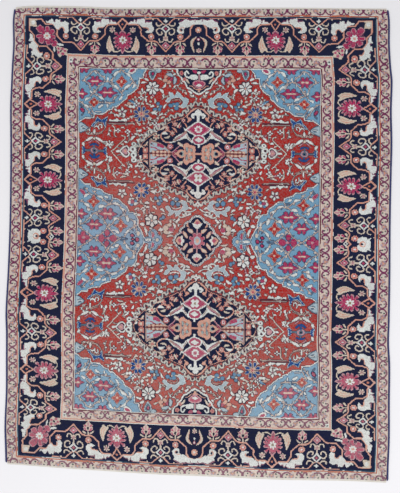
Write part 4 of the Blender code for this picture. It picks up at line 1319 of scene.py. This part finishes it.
def knot_backs():
    """Wool loops pressed between cotton wefts: matt, ribbed every 2.5 mm, dulled by floor dust."""
    material, tree, surface = new_material("knot_backs_wool_on_cotton")
    place = add_node(tree, "TexCoord")["Object"]
    dye = add_node(tree, "Attribute", {"attribute_name": "dye"})["Color"]
    wefts = add_node(tree, "TexWave", {"bands_direction": "Y"}, Vector=place, Scale=126.0,
        Distortion=0.6)["Fac"]
    warps = add_node(tree, "TexWave", {"bands_direction": "X"}, Vector=place, Scale=252.0,
        Distortion=0.6)["Fac"]
    weft = add_node(tree, "MapRange", Value=wefts, From_Min=0.72, From_Max=0.95, To_Min=0.12,
        To_Max=0.55)["Result"]
    colour = add_node(tree, "Mix", {"data_type": "RGBA"}, _0=weft, _6=dye, _7=linear("#B9A896"))[2]
    dust = add_node(tree, "TexNoise", Vector=place, Scale=12.0, Detail=4.0)["Fac"]
    shade = add_node(tree, "MapRange", Value=dust, From_Min=0.3, From_Max=0.7, To_Min=0.82,
        To_Max=1.0)["Result"]
    colour = add_node(tree, "HueSaturation", Value=shade, Saturation=0.85, Color=colour)["Color"]
    ribs = add_node(tree, "Math", {"operation": "MULTIPLY_ADD"}, _0=warps, _1=0.5, _2=wefts)["Value"]
    bump = add_node(tree, "Bump", Strength=0.6, Distance=0.0006, Height=ribs)["Normal"]
    back = add_node(tree, "BsdfPrincipled", Base_Color=colour, Roughness=0.94, IOR=1.55, Normal=bump)
    tree.links.new(back["BSDF"], surface)
    return material


foundation.data.materials.append(knot_backs())
middles_u, middles_v = np.meshgrid((back_u[1:] + back_u[:-1]) / 2, (back_v[2:-1] + back_v[1:-2]) / 2)
shown = np.zeros((rows - 1, columns - 1), int)
shown[1:-1] = 1
colours = np.tile(linear("#E4DFD5"), (len(starts), 1))
colours[: shown.size][shown.ravel() == 1] = np.array(yarns)[yarn_at(middles_u, middles_v).ravel()]
slots = np.zeros(len(starts), np.int32)
slots[: shown.size] = shown.ravel()
foundation.data.polygons.foreach_set("material_index", slots)
foundation.data.attributes.new("dye", "FLOAT_COLOR", "FACE").data.foreach_set("color", colours.ravel())

# Side cords: navy wool yarn wound side by side over the outer warps, turn against turn, from the
# head to the foot. Each is an oval bar about 8 mm wide, pressed flat where it lies on the floor.
CORD_WIDTH = 0.0080
CORD_HEIGHT = 0.0066
YARN_TURN = 0.0019  # m of cord to each turn of the yarn
CORD_POINTS = 10
CORD_FLAT = 0.86  # the oval is pressed flat at this share of its half height
CORD_TAPER = 0.006  # m over which a cord narrows at its ends


def overcast_wool():
    """Navy wool yarn, two-ply and tightly wound: matt, with worn turns that show lighter."""
    material, tree, surface = new_material("overcast_navy_wool")
    place = add_node(tree, "TexCoord")["Object"]
    turns = add_node(tree, "Mapping", Vector=place, Scale=(8.0, 400.0, 8.0))["Vector"]
    lot = add_node(tree, "TexNoise", Vector=turns, Scale=1.0, Detail=1.0)["Fac"]
    worn = add_node(tree, "TexNoise", Vector=place, Scale=9.0, Detail=3.0)["Fac"]
    fibres = add_node(tree, "TexNoise", Vector=place, Scale=1800.0, Detail=2.0)["Fac"]
    colour = add_node(tree, "Mix", {"data_type": "RGBA"}, _0=lot, _6=linear("#1D2247"),
        _7=linear("#3A3F78"))[2]
    bare = add_node(tree, "MapRange", Value=worn, From_Min=0.56, From_Max=0.8, To_Min=0.0,
        To_Max=0.35)["Result"]
    colour = add_node(tree, "Mix", {"data_type": "RGBA"}, _0=bare, _6=colour, _7=linear("#7D7F96"))[2]
    bump = add_node(tree, "Bump", Strength=0.6, Distance=0.0005, Height=fibres)["Normal"]
    yarn = add_node(
        tree, "BsdfPrincipled", Base_Color=colour, Roughness=0.88, IOR=1.55, Sheen_Weight=0.12, Normal=bump
    )
    tree.links.new(yarn["BSDF"], surface)
    return material


def side_cord(name, side, node):
    """Cord along one side: side is -1 on the left and 1 on the right."""
    column = 1 if side < 0 else 2
    low, high = (on_cloth(side * PILE_WIDTH / 2, way * PILE_LENGTH / 2)[1] for way in (-1, 1))
    rings = 2 * int((high - low) / YARN_TURN) + 1
    run = np.linspace(0, 1, rings)
    y = low + (high - low) * run
    end = np.minimum(run, 1 - run) * (high - low) / CORD_TAPER
    size = np.clip(0.45 + 0.55 * np.sqrt(np.clip(end, 0, 1)), 0, 1) * np.where(np.arange(rings) % 2, 1.0,
        0.93)
    angle = (np.arange(CORD_POINTS) + 0.5) / CORD_POINTS * 2 * np.pi
    across = np.sin(angle)[None] * size[:, None] * CORD_WIDTH / 2
    up = np.maximum(-np.cos(angle), -CORD_FLAT)[None] * size[:, None] * CORD_HEIGHT / 2
    up = up + CORD_FLAT * size[:, None] * CORD_HEIGHT / 2
    middle = along(SIDE_STATIONS, column, y) - side * CORD_WIDTH / 2
    slant = across * side * 0.22  # the turns lie a little askew
    points = np.stack((middle[:, None] + across, y[:, None] + slant, up), -1)
    number = np.arange(rings * CORD_POINTS).reshape(rings, CORD_POINTS)
    ahead = np.roll(number, -1, 1)
    quads = np.stack((number[:-1], number[1:], ahead[1:], ahead[:-1]), -1).reshape(-1)
    corners = np.concatenate((quads, number[0], number[-1][::-1]))
    starts = np.concatenate((np.arange(len(quads) // 4) * 4, (len(quads), len(quads) + CORD_POINTS)))
    cord = new_piece(name, points.reshape(-1, 3), corners, starts, overcast)
    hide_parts(node)
    return cord


overcast = overcast_wool()
cords = [
    side_cord("side_cord_wool_left", -1, "side_cord_left"),
    side_cord("side_cord_wool_right", 1, "side_cord_right"),
]

# Floor and light: a plain pale floor in matt paint, a broad soft lamp overhead and even light all
# round, as in a studio.


def matt_paint():
    """Pale matt floor paint: no pattern, and only a faint unevenness in how bright it is."""
    material, tree, surface = new_material("matt_pale_floor_paint")
    place = add_node(tree, "TexCoord")["Object"]
    cloud = add_node(tree, "TexNoise", Vector=place, Scale=1.5, Detail=2.0)["Fac"]
    colour = add_node(tree, "Mix", {"data_type": "RGBA"}, _0=cloud, _6=linear("#EDECF0"),
        _7=linear("#F4F3F6"))[2]
    paint = add_node(tree, "BsdfPrincipled", Base_Color=colour, Roughness=0.7)
    tree.links.new(paint["BSDF"], surface)
    return material


FLOOR_REACH = 6.0  # m from the rug's middle to the floor's edge
FLOOR_LEVEL = -0.0003
corner_points = [(x * FLOOR_REACH, y * FLOOR_REACH, FLOOR_LEVEL) for x, y in ((-1, -1), (1, -1), (1, 1),
    (-1, 1))]
floor_mesh = bpy.data.meshes.new("floor")
floor_mesh.from_pydata(corner_points, (), ((0, 1, 2, 3),))
floor_mesh.materials.append(matt_paint())
floor = bpy.data.objects.new("floor", floor_mesh)
bpy.context.collection.objects.link(floor)

lamp = bpy.data.lights.new("soft_box", "AREA")
lamp.shape = "SQUARE"
lamp.size = 3.0
lamp.energy = 63.0
soft_box = bpy.data.objects.new("soft_box", lamp)
soft_box.location = (0.35, -1.6, 3.4)
soft_box.rotation_euler = (math.radians(24.5), math.radians(5.8), 0)
bpy.context.collection.objects.link(soft_box)
world = bpy.data.worlds.new("even_light")
world.use_nodes = True
world.node_tree.nodes["Background"].inputs["Color"].default_value = linear("#FFFFFF")
world.node_tree.nodes["Background"].inputs["Strength"].default_value = 0.66
bpy.context.scene.world = world
bpy.context.scene.view_settings.view_transform = "Standard"

# Camera: it looks almost straight down from 2.6 m, turned about a degree, as someone who stands
# over the rug would hold it.
lens = bpy.data.cameras.new("camera")
lens.sensor_fit = "VERTICAL"
lens.sensor_height = 36.0
lens.lens = 49.571
camera = bpy.data.objects.new("camera", lens)
camera.location = (0.14577, -0.09730, 2.60489)
camera.rotation_euler = tuple(math.radians(angle) for angle in (1.57658, 2.87861, 1.12832))
bpy.context.collection.objects.link(camera)
bpy.context.scene.camera = camera
